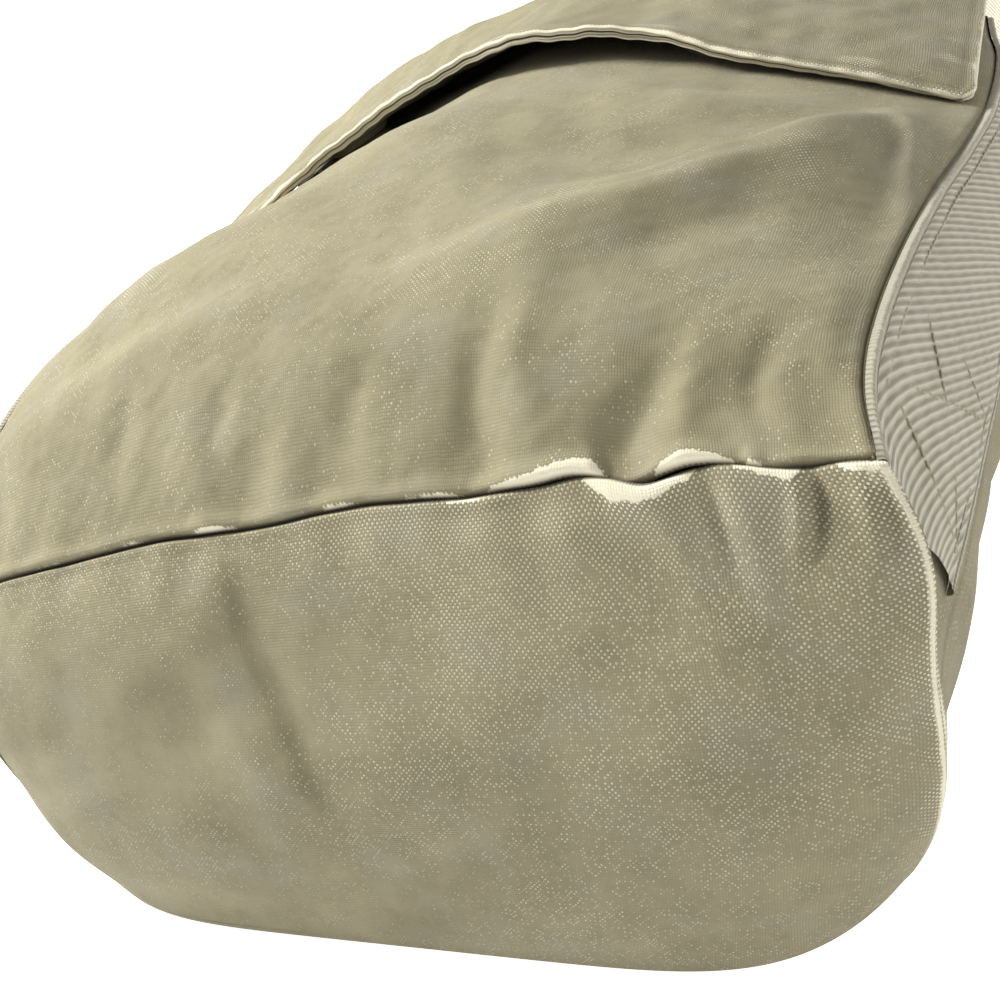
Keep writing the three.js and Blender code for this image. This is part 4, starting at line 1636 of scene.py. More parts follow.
@dataclass
class Flap:
    """Two-layer flap that wraps over the mouth and lies on the front panel."""

    form: BagForm
    edge_y: float = 181.0
    hinge_z: float = 44.0
    half_top: float = 140.0
    half_low: float = 145.0
    lift: float = 9.5
    layer: float = 1.6
    gap: float = 0.3
    corner: float = 7.0
    folds: tuple[Fold, ...] = (
        Fold(((-70, 30), (-40, 16), (-10, 10)), 9.0, 2.0, 0.3),
        Fold(((-110, 40), (-80, 20), (-60, 8)), 8.0, -1.8),
        Fold(((20, 60), (60, 36), (110, 20)), 12.0, 1.6),
        Fold(((0, 30), (50, 16), (96, 10)), 7.0, -1.0),
        Fold(((70, 70), (105, 46), (135, 36)), 9.0, 1.5),
    )

    def profile(self, a: Array) -> Array:
        """Outer face of the flap in the YZ plane for each position across.

        Args:
            a: Positions across, -1 to 1.

        Returns:
            Control points, shape (len(a), 11, 2).
        """
        form = self.form
        lift = self.lift - 2 * a**4
        wave = 2.5 * np.exp(-(((a + 0.15) / 0.3) ** 2)) + 1.5 * np.exp(-(((a - 0.25) / 0.3) ** 2))
        press = smoothstep(0.3, 0.6, a)
        settle = smoothstep(0.50, 0.84, -a)
        rise = 6.0 * np.exp(-(((a - 0.22) / 0.38) ** 2))
        inner = a * 0.97

        def front(y: float) -> Array:
            return form.front_z(inner, np.full_like(a, y))

        def back(y: float) -> Array:
            return form.back_z(inner, np.full_like(a, y))

        edge_z = front(self.edge_y) + lift - 0.5 + wave - 3.5 * press - 4.2 * settle
        stops = [
            (270.0, back(270.0) - 4.4),
            (281.0, back(281.0) - 3.6),
            (289.5, np.full_like(a, self.hinge_z)),
            (293.2, np.full_like(a, 56.0)),
            (294.0, np.full_like(a, 72.0)),
            (290.0, front(285.0) + 5.5),
            (277.0, front(277.0) + lift + 1),
            (255.0, front(255.0) + lift + 0.5),
            (230.0, front(230.0) + lift),
            (205.0 + 0.3 * rise, front(205.0) + lift - 1.5 * press - 2.6 * settle),
            (self.edge_y - 5.0 * press + rise, edge_z),
        ]
        return np.stack([np.stack([np.broadcast_to(y, a.shape), z], -1) for y, z in stops], 1)

    def curve(self, a: Array, run: Array) -> tuple[Array, Array]:
        """Follow the profile by its length.

        Args:
            a: Positions across.
            run: Shares of the profile's length, 0 to 1.

        Returns:
            Points in YZ, shape (len(run), len(a), 2), and each profile's length.
        """
        stops = self.profile(a)
        first = 2 * stops[:, :1] - stops[:, 1:2]
        last = 2 * stops[:, -1:] - stops[:, -2:-1]
        full = np.concatenate([first, stops, last], 1)
        pieces = []
        steps = np.linspace(0.0, 1.0, 15)[:-1]
        for k in range(1, full.shape[1] - 2):
            p0, p1, p2, p3 = (full[:, k + j][:, None] for j in (-1, 0, 1, 2))
            pairs = ((p0, p1), (p1, p2), (p2, p3))
            d0, d1, d2 = (np.linalg.norm(q - p, axis=-1, keepdims=True) ** 0.5 for p, q in pairs)
            t1 = ((p1 - p0) / d0 - (p2 - p0) / (d0 + d1) + (p2 - p1) / d1) * d1
            t2 = ((p2 - p1) / d1 - (p3 - p1) / (d1 + d2) + (p3 - p2) / d2) * d1
            u = steps[None, :, None]
            pieces.append(
                (2 * u**3 - 3 * u**2 + 1) * p1 + (u**3 - 2 * u**2 + u) * t1
                + (3 * u**2 - 2 * u**3) * p2 + (u**3 - u**2) * t2
            )
        line = np.concatenate(pieces + [stops[:, -1:]], 1)
        length = np.concatenate(
            [np.zeros((len(a), 1)), np.cumsum(np.linalg.norm(np.diff(line, axis=1), axis=-1), axis=1)], 1
        )
        out = np.empty((len(run), len(a), 2))
        for column in range(len(a)):
            at = run * length[column, -1]
            for k in range(2):
                out[:, column, k] = np.interp(at, length[column], line[column, :, k])
        return out, length[:, -1]

    def grid(self) -> tuple[Array, Array]:
        """Positions across and along, closer together at the rounded edges.

        Returns:
            Positions across (-1 to 1) and shares of the length (0 to 1).
        """
        bend = np.sin(np.linspace(0.0, math.pi / 2, 7))
        rim_a = 1.1 / self.half_low
        rim_t = 1.1 / 215.0
        right = 1.0 - rim_a * (1 - bend[1:])
        a = np.concatenate([-right[::-1], np.linspace(-(1 - rim_a), 1 - rim_a, 260), right])
        t = np.concatenate([np.linspace(0.0, 1.0 - rim_t, 170), 1.0 - rim_t * (1 - bend[1:])])
        return a, t

    def layer_pieces(self, name: str, depth: float, material: bpy.types.Material) -> bpy.types.Object:
        """Make one layer as a closed, round-edged sheet.

        Args:
            name: Piece name.
            depth: Distance of the layer's middle below the outer face.
            material: Finish.

        Returns:
            The layer.
        """
        a, t = self.grid()
        line, length = self.curve(a, t)
        run = t[:, None] * length[None, :]
        low = length[None, :] - run
        spine = smoothstep(0.25, 0.55, t)[:, None]
        half = self.half_top + (self.half_low - self.half_top) * spine
        inside = np.clip(self.corner - low, 0, None)
        round_off = self.corner - np.sqrt(np.clip(self.corner**2 - inside**2, 0, None))
        x = a[None, :] * (half - round_off)
        middle = np.stack([x, line[..., 0], line[..., 1]], -1)
        normal = unit(np.cross(np.gradient(middle, axis=0), np.gradient(middle, axis=1)))
        beside = (1 - np.abs(a[None, :])) * half
        edge = np.minimum(beside, low)
        s = np.broadcast_to(x, run.shape)
        broad = SmoothNoise(61, 62.0)(s, low)
        fine = SmoothNoise(63, 17.0)(s, low)
        free = smoothstep(0, 20, edge) * smoothstep(60, 90, run)
        relief = free * (broad + 0.35 * fine) + 0.7 * total_relief(self.folds, s, low)
        relief = relief + 0.5 * SmoothNoise(67, 14.0)(s, low * 0.2) * bell(low, 0.0, 6.0)
        bead = 0.30 * bell(edge, 1.4, 1.1) - 0.28 * bell(edge, 3.6, 0.9)
        middle = middle + normal * (relief - depth)[..., None]
        puff = np.ones_like(run)
        for away in (beside, low, run):
            share = np.clip(away / 1.1, 0.0, 1.0)
            puff = puff * np.sqrt(np.clip(1 - (1 - share) ** 2, 0, 1))
        thick = (self.layer / 2) * puff
        ragged = SmoothNoise(69, 9.0)(s, low)
        wear = (0.95 + 0.15 * ragged) * bell(edge, 0.0, 1.5) + 0.22 * bell(edge, 9.0, 5.0)
        scuff = SmoothNoise(71, 22.0)(s * 0.7 + low, low - s * 0.7)
        wear = wear + 0.30 * smoothstep(0.4, 1.1, scuff) * bell(low, 12, 30)
        # Painted shade: in the groove between the edge's two ridges, and on the backing layer near its edge,
        # in the shaded gap under the flap.
        groove = smoothstep(0.15, 0.7, edge) * bell(edge, 0, 6)
        grime = 0.35 * bell(edge, 3.7, 0.8) + (groove if depth > self.layer else 0 * groove)
        layers = {"wear": wear, "crowns": 0.22 + 0.15 * broad, "grime": grime}
        cloth = np.stack([s, low], -1)
        outer = Patch(middle + normal * (thick + bead * puff)[..., None], cloth, layers, True)
        under = {"wear": 0.9 * bell(edge, 0.0, 1.0), "crowns": 0.15 + 0 * broad, "grime": 0.9 * groove}
        inner = Patch(middle - normal * thick[..., None], cloth, under, False)
        return mesh_object(name, [outer, inner], material)

    def build(self, wardrobe: Wardrobe) -> list[bpy.types.Object]:
        """Make and place both layers.

        Args:
            wardrobe: Finishes.

        Returns:
            The layers.
        """
        outer = self.layer_pieces("flap_face", self.layer / 2, wardrobe.flap)
        under = self.layer_pieces("flap_backing", 1.5 * self.layer + self.gap, wardrobe.flap)
        for obj, node in ((outer, "flap_outer"), (under, "flap_lining")):
            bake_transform(obj)
            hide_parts(node)
            LOG.info("%s: %d points between bag and flap", obj.name, len(obj.data.vertices))
        return [outer, under]


@dataclass
class ShoulderStrap:
    """Webbing strap: an arch standing on its edge, with a wire ring and a three-bar slider."""

    x: float = 150.5
    start_y: float = 286.0
    start_z: float = 61.5
    rest_z: float = 25.6
    straight: float = 160.0
    arch: float = 130.0
    slope_length: float = 150.0
    slope_blend: float = 40.0
    width: float = 50.0
    thick: float = 1.6
    ring_at: float = 37.0
    ring_half: float = 7.5
    ring_wide: float = 28.0
    ring_wire: float = 1.4
    ring_corner: float = 2.5
    adjuster_at: float = 135.0
    loop: float = 3.4
    wrap: float = 2.4
    foot: float = 24.0

    def __post_init__(self) -> None:
        """Measure the arch once."""
        t = np.linspace(0.0, 1.0, 41)
        angle = math.pi - math.pi * np.arange(1, 120) / 120
        left = np.stack([np.full(41, -self.x), self.start_y + self.straight * t], -1)
        top = np.stack(
            [self.x * np.cos(angle), self.start_y + self.straight + self.arch * np.sin(angle)], -1
        )
        right = np.stack([np.full(41, self.x), self.start_y + self.straight * t[::-1]], -1)
        self.plan = np.concatenate([left, top, right])
        steps = np.linalg.norm(np.diff(self.plan, axis=0), axis=1)
        self.run = np.concatenate([[0.0], np.cumsum(steps)])
        self.length = float(self.run[-1])

    def height(self, s: Array) -> Array:
        """Height of the strap's middle at a distance from its nearer end.

        Args:
            s: Distances from the end.

        Returns:
            Heights above the floor.
        """
        slope = (self.start_z - self.rest_z) / (self.slope_length + self.slope_blend / 2)
        t = np.clip(s - self.slope_length, 0.0, self.slope_blend)
        straight = self.start_z - slope * np.minimum(s, self.slope_length)
        return straight - slope * (t - t * t / (2 * self.slope_blend))

    def centre(self, s: Array) -> Array:
        """Points of the strap's middle line.

        Args:
            s: Distances from the left end.

        Returns:
            Points, shape (n, 3).
        """
        s = np.asarray(s, float)
        inside = np.clip(s, 0.0, self.length)
        x = np.interp(inside, self.run, self.plan[:, 0])
        y = np.interp(inside, self.run, self.plan[:, 1])
        y = y + np.minimum(s, 0.0) + np.minimum(self.length - s, 0.0)
        return np.stack([x, y, self.height(np.minimum(s, self.length - s))], -1)

    def frame(self, s: Array) -> tuple[Array, Array, Array]:
        """Directions of the strap.

        Args:
            s: Distances from the left end.

        Returns:
            Along, outward and across unit vectors.
        """
        along = unit(self.centre(np.asarray(s) + 1.5) - self.centre(np.asarray(s) - 1.5))
        outward = unit(np.stack([-along[:, 1], along[:, 0], 0 * along[:, 0]], -1))
        across = unit(np.cross(along, outward))
        return along, outward, across * np.sign(across[:, 2:3])

    def point(self, s: Array, n: Array, v: Array | float = 0.0) -> Array:
        """Point beside the strap's middle line.

        Args:
            s: Distances from the left end.
            n: Distances outward.
            v: Distances across the width.

        Returns:
            Points, shape (n, 3).
        """
        _, outward, across = self.frame(s)
        sideways = np.broadcast_to(v, np.shape(s))[:, None] * across
        return self.centre(s) + np.asarray(n)[:, None] * outward + sideways

    def ribbon(
        self, name: str, path: Sequence[tuple[float, float]], material: bpy.types.Material
    ) -> bpy.types.Object:
        """Webbing that follows a path drawn in the strap's own run-outward plane.

        Args:
            name: Piece name.
            path: Pairs of distance along and distance outward.
            material: Finish.

        Returns:
            The ribbon.
        """
        line = np.asarray(path, float)
        line = resample(np.concatenate([line, np.zeros((len(line), 1))], 1), 1.6)[:, :2]
        for _ in range(3):
            line[1:-1] = 0.25 * line[:-2] + 0.5 * line[1:-1] + 0.25 * line[2:]
        middle = self.point(line[:, 0], line[:, 1])
        _, _, across = self.frame(line[:, 0])
        forward = unit(np.gradient(middle, axis=0))
        up = unit(np.cross(across, forward))
        half = self.width / 2
        grid = np.sign(np.linspace(-1, 1, 24)) * half * (1 - (1 - np.abs(np.linspace(-1, 1, 24))) ** 1.5)
        from_edge = half - np.abs(grid)
        rise = (self.thick / 2) * np.sqrt(np.clip(1 - (1 - np.minimum(from_edge / 0.9, 1.0)) ** 2, 0, 1))
        rise = rise + 0.12 * bell(from_edge, 1.1, 0.8) - 0.12 * bell(from_edge, 2.4, 0.5) * (from_edge > 1)
        cap = np.sqrt(np.clip(1 - (1 - np.clip(np.arange(len(line)) / 2.0, 0, 1)) ** 2, 0, 1))
        cap = np.minimum(cap, cap[::-1])
        run = np.concatenate([[0.0], np.cumsum(np.linalg.norm(np.diff(middle, axis=0), axis=1))])
        patches = []
        for sign in (1.0, -1.0):
            points = (
                middle[:, None] + grid[None, :, None] * across[:, None]
                + sign * (rise[None, :] * cap[:, None])[..., None] * up[:, None]
            )
            cloth = np.stack(np.broadcast_arrays(run[:, None], (grid + half)[None, :]), -1)
            wear = np.broadcast_to(0.5 * bell(from_edge, 0.6, 1.0)[None, :], points.shape[:2])
            patch = Patch(points, cloth, {"wear": wear})
            facing = (patch.normals() * sign * up[:, None]).sum()
            patches.append(Patch(points, cloth, patch.layers, bool(facing < 0)))
        return mesh_object(name, patches, material)

    def arc(self, s: float, n: float, radius: float, start: float, end: float) -> list[tuple[float, float]]:
        """Part of a circle in the run-outward plane.

        Args:
            s: Centre along the strap.
            n: Centre outward.
            radius: Radius.
            start: First angle in degrees.
            end: Last angle in degrees.

        Returns:
            Points along the arc.
        """
        angles = np.radians(np.linspace(start, end, 15))
        return [(s + radius * math.cos(g), n + radius * math.sin(g)) for g in angles]

    def long_path(self) -> list[tuple[float, float]]:
        """Route of the long part, from the right side to the fold on the slider."""
        far = self.ring_at + self.ring_half
        tail = 2 * self.loop
        path = [(self.length + self.foot, -3.4), (self.length + 8, -2.6), (self.length - 6, -0.3)]
        path += [(self.length - 14, 0.0), (far + 5, 0.0)]
        path += self.arc(far, self.loop, self.loop, -90, -270)
        path += [(far + 12, tail), (self.adjuster_at - 8, tail)]
        path += self.arc(self.adjuster_at, tail - self.wrap, self.wrap, 90, -90)
        path += [(self.adjuster_at - 10, tail - 2 * self.wrap), (self.adjuster_at - 20, tail - 2 * self.wrap)]
        return path

    def short_path(self) -> list[tuple[float, float]]:
        """Route of the short part, from the left side round the ring and back."""
        near = self.ring_at - self.ring_half
        tail = 2 * self.loop
        path = [(-self.foot, -3.4), (-8, -2.6), (4, -0.3), (12, 0.0), (near - 4, 0.0)]
        path += self.arc(near, self.loop, self.loop, -90, 90)
        path += [(near - 5, tail - 0.6), (near - 10, tail - 2.4), (near - 15, 2.9)]
        path += [(near - 20, 2.3), (3, 2.2)]
        return path

    def tube(self, name: str, line: Array, radius: float, material: bpy.types.Material) -> bpy.types.Object:
        """Round wire along a closed line.

        Args:
            name: Piece name.
            line: Points of its middle.
            radius: Wire radius.
            material: Finish.

        Returns:
            The wire.
        """
        line = np.concatenate([line, line[:1]])
        forward = unit(np.gradient(line, axis=0))
        forward[0] = forward[-1] = unit(line[1] - line[-2])
        side = unit(np.cross(forward, np.array([0.31, 0.17, 0.93])))
        up = unit(np.cross(side, forward))
        angle = np.linspace(0.0, 2 * math.pi, 17)[:-1]
        profile = [(radius * math.cos(g), radius * math.sin(g)) for g in angle]
        patch = sweep(line, side, up, profile)
        middle = line[None]
        patch.flip = bool(((patch.points - middle) * patch.normals()).sum() < 0)
        return mesh_object(name, [patch], material)

    def ring(self, material: bpy.types.Material) -> bpy.types.Object:
        """Rounded wire loop between the two webbing folds.

        Args:
            material: Finish.

        Returns:
            The ring.
        """
        corner = self.ring_corner
        along = self.ring_half - corner
        wide = self.ring_wide - corner
        outline = []
        for sx, sy, start in ((1, 1, 0), (-1, 1, 90), (-1, -1, 180), (1, -1, 270)):
            for g in np.radians(np.linspace(start, start + 90, 9)):
                outline.append((sx * along + corner * math.cos(g), sy * wide + corner * math.sin(g), 0.0))
        outline.append(outline[0])
        flat = resample(np.asarray(outline), 0.8)[:-1]
        line = self.point(self.ring_at + flat[:, 0], np.full(len(flat), self.loop), flat[:, 1])
        return self.tube("strap_wire_ring", line, self.ring_wire, material)

    def build(self, wardrobe: Wardrobe) -> list[bpy.types.Object]:
        """Make and place the strap's pieces.

        Args:
            wardrobe: Finishes.

        Returns:
            The pieces.
        """
        long_part = self.ribbon("strap_webbing_long", self.long_path(), wardrobe.webbing)
        short_part = self.ribbon("strap_webbing_short", self.short_path(), wardrobe.webbing)
        for obj, node in ((long_part, "strap_long"), (short_part, "strap_short")):
            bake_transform(obj)
            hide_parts(node)
            LOG.info("%s: %d points between bag and strap", obj.name, len(obj.data.vertices))
        ring = place(self.ring(wardrobe.metal), Body.STRAP, Slot.METAL, "strap_ring")
        return [long_part, short_part, ring]


@dataclass
class ZipPocket:
    """Cloth, tape, teeth and stitching of the zip pocket inside the back panel."""

    half: float = 75.0
    zip_y: float = 167.0
    floor_z: float = 2.3
    tape_thick: float = 0.8
    tape_near: float = 0.3
    tape_far: float = 9.0
    tape_seam: float = 6.5
    teeth_off: float = 0.75
    low: float = 60.0
    top: float = 157.0

    def row(self, y0: float, y1: float, x0: float, x1: float, z: float) -> tuple[Array, Array]:
        """Straight stitch line on the pocket.

        Args:
            y0: Y at its start.
            y1: Y at its end.
            x0: X at its start.
            x1: X at its end.
            z: Height.

        Returns:
            Points and upward vectors.
        """
        t = np.linspace(0.0, 1.0, 30)
        points = np.stack([x0 + (x1 - x0) * t, y0 + (y1 - y0) * t, np.full(30, z)], -1)
        return points, np.broadcast_to(np.array([0.0, 0.0, 1.0]), points.shape)

    def level(self, low: float, high: float, z: float) -> Callable[[Array, Array], Array]:
        """Flat cloth between two heights on the pocket.

        Args:
            low: Y at its lower edge.
            high: Y at its upper edge.
            z: Height of its middle.

        Returns:
            Its surface for positions across and along.
        """

        def surface(u: Array, v: Array) -> Array:
            return np.stack(np.broadcast_arrays((2 * u - 1) * self.half, low + (high - low) * v, z), -1)

        return surface

    def build(self, wardrobe: Wardrobe, kit: StitchKit, teeth: StitchKit) -> list[bpy.types.Object]:
        """Make and place the pocket's pieces.

        Args:
            wardrobe: Finishes.
            kit: Stitch maker.
            teeth: The same tree with a metal finish.

        Returns:
            The pieces.
        """
        tape_top = self.floor_z + self.tape_thick
        rows = []
        for y in (self.zip_y - self.tape_seam, self.zip_y + self.tape_seam):
            rows.append(self.row(y, y, -self.half + 2, self.half - 2, tape_top + 0.05))
        face = self.floor_z + 1.2
        rows += [self.row(self.low + 3, self.low + 3, -self.half + 3, self.half - 3, face)]
        rows += [self.row(self.low + 3, self.top - 3, x, x, face) for x in (-self.half + 3, self.half - 3)]
        thread = kit.sew("pocket_thread", rows, 2.6, (2.2, 0.6, 0.4))
        lines = []
        for y in (self.zip_y - self.teeth_off, self.zip_y + self.teeth_off):
            lines.append(self.row(y, y, -self.half + 5, self.half - 5, tape_top + 0.75))
        chain = teeth.sew("zip_teeth", lines, 1.5, (0.85, 2.3, 1.1))
        pieces = [place(thread, Body.BAG, Slot.THREAD), place(chain, Body.BAG, Slot.METAL)]
        surface = self.level(self.low, self.top, self.floor_z + 0.6)
        size = (2 * self.half, self.top - self.low)
        cloth = soft_slab("pocket_cloth", surface, size, 1.15, wardrobe.flap, (90, 60), 3.0)
        pieces.append(place(cloth, Body.BAG, Slot.CANVAS, "pocket_panel"))
        for side in (-1.0, 1.0):
            near, far = sorted((self.zip_y + self.tape_near * side, self.zip_y + self.tape_far * side))
            name = "tape_low" if side < 0 else "tape_high"
            surface = self.level(near, far, self.floor_z + self.tape_thick / 2)
            size = (2 * self.half, far - near)
            strip = soft_slab(name, surface, size, 0.78, wardrobe.zip_tape, (90, 10), 2.4)
            pieces.append(place(strip, Body.BAG, Slot.ZIP_TAPE, "zip_tape"))
        return pieces


def hemmed(length: float, count: int) -> Array:
    """Shares of a cloth's length from 0 to 1, with extra ones near both ends.

    Args:
        length: Length in millimetres.
        count: Shares between the hems.

    Returns:
        The shares in order.
    """
    share = [[0.0, 0.3 / length, 0.9 / length], np.linspace(2 / length, 1 - 2 / length, count)]
    share = np.concatenate(share)
    return np.concatenate([share, 1 - share[2::-1]])


def soft_slab(
    name: str, surface: Callable[[Array, Array], Array], size: tuple[float, float], thick: float,
    material: bpy.types.Material, grid: tuple[int, int] = (150, 30), hem: float = 4.0,
) -> bpy.types.Object:
    """Flat cloth piece with rounded edges and a turned hem.

    Args:
        name: Piece name.
        surface: Middle of the cloth for positions across and along, each from 0 to 1.
        size: Width and length of the cloth, mm.
        thick: Thickness, mm.
        material: Finish.
        grid: Columns and rows.
        hem: Distance of the hem's stitch groove from the edge, mm.

    Returns:
        The piece.
    """
    width, length = size
    u = hemmed(width, grid[0])[None, :]
    v = hemmed(length, grid[1])[:, None]
    x, y = np.broadcast_arrays(u * width, v * length)
    edge = np.minimum(np.minimum(x, width - x), np.minimum(y, length - y))
    share = np.clip(edge, 0.0, 1.0)
    puff = np.sqrt(np.clip(1 - (1 - share) ** 2, 0, 1))
    middle = surface(u, v)
    normal = unit(np.cross(np.gradient(middle, axis=1), np.gradient(middle, axis=0)))
    swell = thick / 2 - 0.22 * bell(edge, hem, 0.9) - 0.06 * (1 + SmoothNoise(83, 14.0)(x, y))
    wear = 0.55 * bell(edge, 0.5, 1.0) + 0.15 * bell(edge, hem + 1.5, 2.0)
    # Painted shade in the hem's stitch groove.
    layers = {"wear": wear, "crowns": np.full(edge.shape, 0.25), "grime": 0.35 * bell(edge, hem, 0.7)}
    cloth = np.stack([x, y], -1)
    top = Patch(middle + normal * (swell * puff)[..., None], cloth, layers)
    under = Patch(middle - normal * (swell * puff)[..., None], cloth, layers, True)
    return mesh_object(name, [top, under], material)


@dataclass
class MouthFacing:
    """Hems turned in at the mouth."""

    form: BagForm
    wall: float = 1.8
    clear: float = 0.9
    thick: float = 1.3
    start: float = 0.885
    reach: float = 0.11
    size: tuple[float, float] = (280.0, 31.0)

    def build(self, wardrobe: Wardrobe) -> list[bpy.types.Object]:
        """Make and place both hems.

        Args:
            wardrobe: Finishes.

        Returns:
            The hems.
        """
        form = self.form
        pieces = []
        for face, name in ((Face.FRONT, "facing_front"), (Face.BACK, "facing_back")):

            def surface(u: Array, v: Array, front: bool = face is Face.FRONT) -> Array:
                b = self.start + v * self.reach
                y = b * form.height
                a = (2 * u - 1) * (1 - (self.wall + 1.6) / form.sample(form.half_width, y))
                inset = (self.wall + self.clear + 0.7) / form.depth(a, y)
                return form.point(a, b, 1 - inset if front else inset)

            cloth = soft_slab(f"{name}_cloth", surface, self.size, self.thick, wardrobe.flap)
            pieces.append(place(cloth, Body.BAG, Slot.CANVAS, name))
        return pieces


@dataclass
class ClosureCover:
    """Round cloth covers sewn over the hidden closure discs."""

    form: BagForm
    x: float = 70.0
    y: float = 205.0
    disc: float = 9.4
    seam: float = 12.4
    radius: float = 14.5
    cloth: float = 0.7

    def dome(
        self, name: str, side: Side, top: float, rim: float, flip: bool, material: bpy.types.Material
    ) -> bpy.types.Object:
        """Make one cover.

        Args:
            name: Piece name.
            side: Side of the bag.
            top: Height over the front panel in the middle.
            rim: Height over the front panel at its edge.
            flip: Whether its outside faces the front panel.
            material: Finish.

        Returns:
            The cover.
        """
        turn = np.linspace(0.0, 2 * math.pi, 73)[None, :]
        r = np.linspace(0.0, self.radius, 26)[:, None]
        x = side.value * self.x + r * np.cos(turn)
        y = self.y + r * np.sin(turn)
        base = np.stack([x, y, self.form.front_z(x / self.form.sample(self.form.half_width, y), y)], -1)
        middle, quarter = 12, 18
        across = base[middle, 0] - base[middle, 2 * quarter]
        along = base[middle, quarter] - base[middle, 3 * quarter]
        normal = unit(np.cross(across, along))
        height = top + (rim - top) * smoothstep(self.disc, self.radius, r)
        height = np.broadcast_to(height, x.shape)
        inward = (1.0 if flip else -1.0) * self.cloth * np.sqrt(1 - np.clip(r / self.radius, 0, 1) ** 2)
        cloth = np.stack([x, y], -1)
        wear = 0.4 * np.broadcast_to(bell(r, self.disc, 1.5), x.shape)
        # Painted shade in the cover's seam groove.
        grime = 0.5 * np.broadcast_to(bell(r, self.seam, 0.7), x.shape)
        layers = {"wear": wear, "crowns": np.full(x.shape, 0.25), "grime": grime}
        outer = Patch(base + normal * height[..., None], cloth, layers, not flip)
        inner = Patch(base + normal * (height + inward)[..., None], cloth, layers, flip)
        return mesh_object(name, [outer, inner], material)

    def build(self, wardrobe: Wardrobe) -> list[bpy.types.Object]:
        """Make and place all four covers.

        Args:
            wardrobe: Finishes.

        Returns:
            The covers.
        """
        pieces = []
        for side in Side:
            body = self.dome(f"cover_body_{side.label}", side, 2.2, -0.4, False, wardrobe.panel)
            flap = self.dome(f"cover_flap_{side.label}", side, 2.45, 6.4, True, wardrobe.flap)
            pieces.append(place(body, Body.BAG, Slot.CANVAS, f"magnet_body_{side.label}"))
            pieces.append(place(flap, Body.FLAP, Slot.CANVAS, f"magnet_flap_{side.label}"))
        return pieces


@dataclass
class CadDressing:
    """Finishes for the CAD nodes whose shape is kept."""

    def build(self, frame: dict, wardrobe: Wardrobe) -> None:
        """Assign the finishes.

        Args:
            wardrobe: Finishes.
        """
        finishes = {
            "zip_slider": wardrobe.metal,
            "zip_pull": wardrobe.metal,
            "strap_adjuster": wardrobe.metal,
        }
        for name, material in finishes.items():
            node = frame["nodes"][name]
            node.data.materials.clear()
            node.data.materials.append(material)
            LOG.info("%s keeps its shape in %s", name, material.name)


# ----------------------------------------------------------
# Studio
# ----------------------------------------------------------


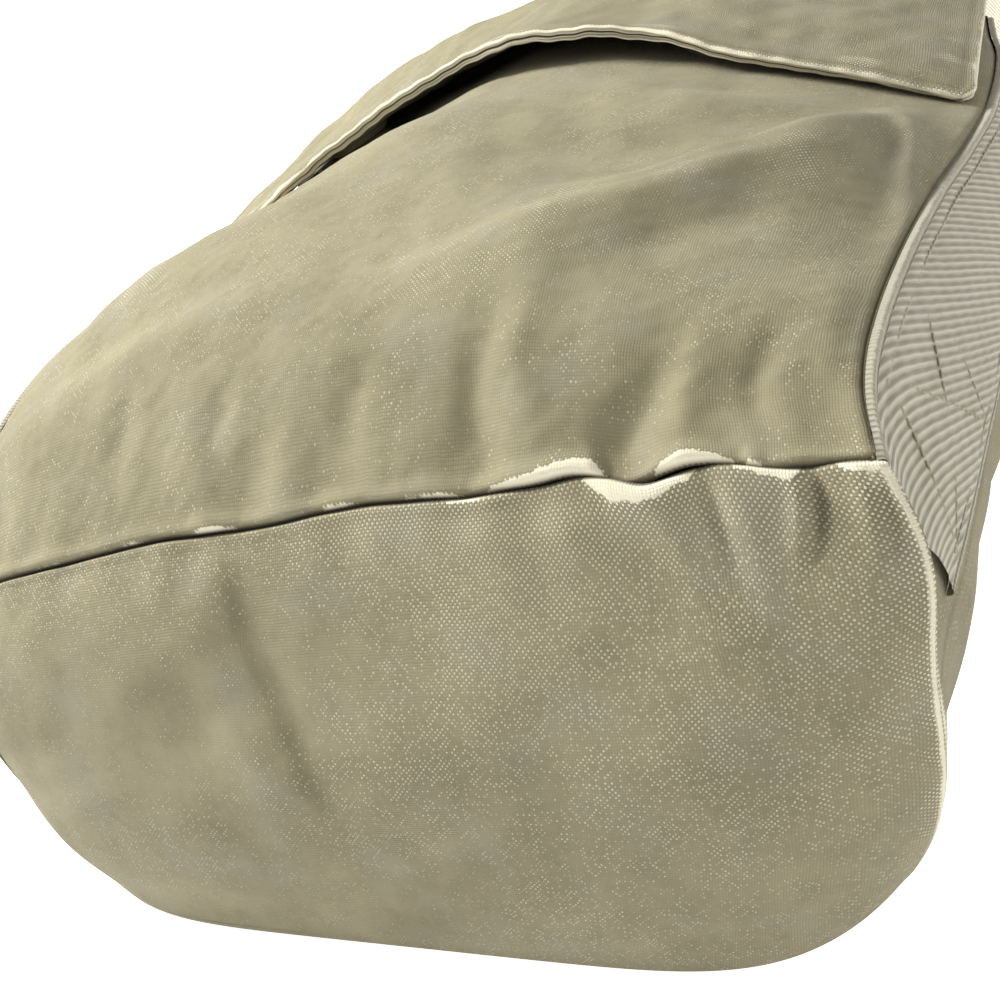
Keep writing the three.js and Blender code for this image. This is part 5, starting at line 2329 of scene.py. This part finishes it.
@dataclass
class Studio:
    """Floor, light and camera."""

    azimuth: float = 31.0
    elevation: float = 34.0
    roll: float = 22.0
    position: tuple[float, float, float] = (0.174867, -0.208362, 0.278355)
    lens: float = 46.8
    sky: float = 0.48
    floor_half: float = 6.0
    floor_z: float = -0.0012
    tint: Colour = (1.0, 0.995, 0.975)

    def floor(self) -> bpy.types.Object:
        """Make the floor.

        Returns:
            The floor.
        """
        mesh = bpy.data.meshes.new("floor")
        size = self.floor_half
        corners = [(-size, -size, 0), (size, -size, 0), (size, size, 0), (-size, size, 0)]
        mesh.from_pydata(corners, [], [(0, 1, 2, 3)])
        obj = bpy.data.objects.new("floor", mesh)
        bpy.context.scene.collection.objects.link(obj)
        obj.location.z = self.floor_z
        mesh.materials.append(FloorFinish().make())
        return obj

    def lamp(self, name: str, place_at: Colour, target: Colour, size: float, power: float) -> None:
        """Add one soft area light.

        Args:
            name: Light name.
            place_at: Its place in metres.
            target: Point that it faces.
            size: Width in metres.
            power: Power in watts.
        """
        light = bpy.data.lights.new(name, "AREA")
        light.shape = "DISK"
        light.size = size
        light.energy = power
        light.color = self.tint
        obj = bpy.data.objects.new(name, light)
        bpy.context.scene.collection.objects.link(obj)
        obj.location = place_at
        obj.rotation_mode = "QUATERNION"
        obj.rotation_quaternion = (Vector(target) - Vector(place_at)).to_track_quat("-Z", "Y")

    def camera(self) -> None:
        """Set up the camera, turned about its own line of sight."""
        az, el, roll = (math.radians(g) for g in (self.azimuth, self.elevation, self.roll))
        forward = Vector((-math.sin(az) * math.cos(el), math.cos(az) * math.cos(el), -math.sin(el)))
        right = Vector((math.cos(az), math.sin(az), 0.0))
        up = right.cross(forward)
        across = right * math.cos(roll) - up * math.sin(roll)
        above = right * math.sin(roll) + up * math.cos(roll)
        data = bpy.data.cameras.new("camera")
        data.lens = self.lens
        data.sensor_width = 36.0
        data.clip_start = 0.01
        obj = bpy.data.objects.new("camera", data)
        bpy.context.scene.collection.objects.link(obj)
        turn = Matrix((across, above, -forward)).transposed().to_4x4()
        obj.matrix_world = Matrix.Translation(Vector(self.position)) @ turn
        bpy.context.scene.camera = obj

    def build(self) -> None:
        """Set up the whole studio."""
        scene = bpy.context.scene
        world = bpy.data.worlds.new("studio")
        world.use_nodes = True
        backdrop = world.node_tree.nodes["Background"]
        backdrop.inputs["Color"].default_value = (1.0, 1.0, 1.0, 1.0)
        backdrop.inputs["Strength"].default_value = self.sky
        scene.world = world
        scene.view_settings.view_transform = "Standard"
        self.floor()
        self.lamp("key", (-0.98, 0.26, 1.02), (0.0, 0.10, 0.08), size=0.45, power=45.0)
        self.lamp("fill", (1.35, -0.25, 0.75), (0.14, 0.10, 0.06), size=0.9, power=5.6)
        self.camera()


def main() -> None:
    """Build the bag and its studio in order."""
    logging.basicConfig(level=logging.INFO, format="%(message)s")
    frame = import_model()
    form = BagForm()
    wardrobe = Wardrobe.sewn()
    kit = StitchKit(wardrobe.thread)
    teeth = StitchKit(wardrobe.metal)
    FrontPanel(form).build(wardrobe)
    BottomPanel(form).build(wardrobe)
    BackPanel(form).build(wardrobe)
    for side in Side:
        Gusset(form, side).build(wardrobe, kit)
    Flap(form).build(wardrobe)
    ShoulderStrap().build(wardrobe)
    MouthFacing(form).build(wardrobe)
    ClosureCover(form).build(wardrobe)
    ZipPocket().build(wardrobe, kit, teeth)
    CadDressing().build(frame, wardrobe)
    Studio().build()


if __name__ == "__main__":
    main()
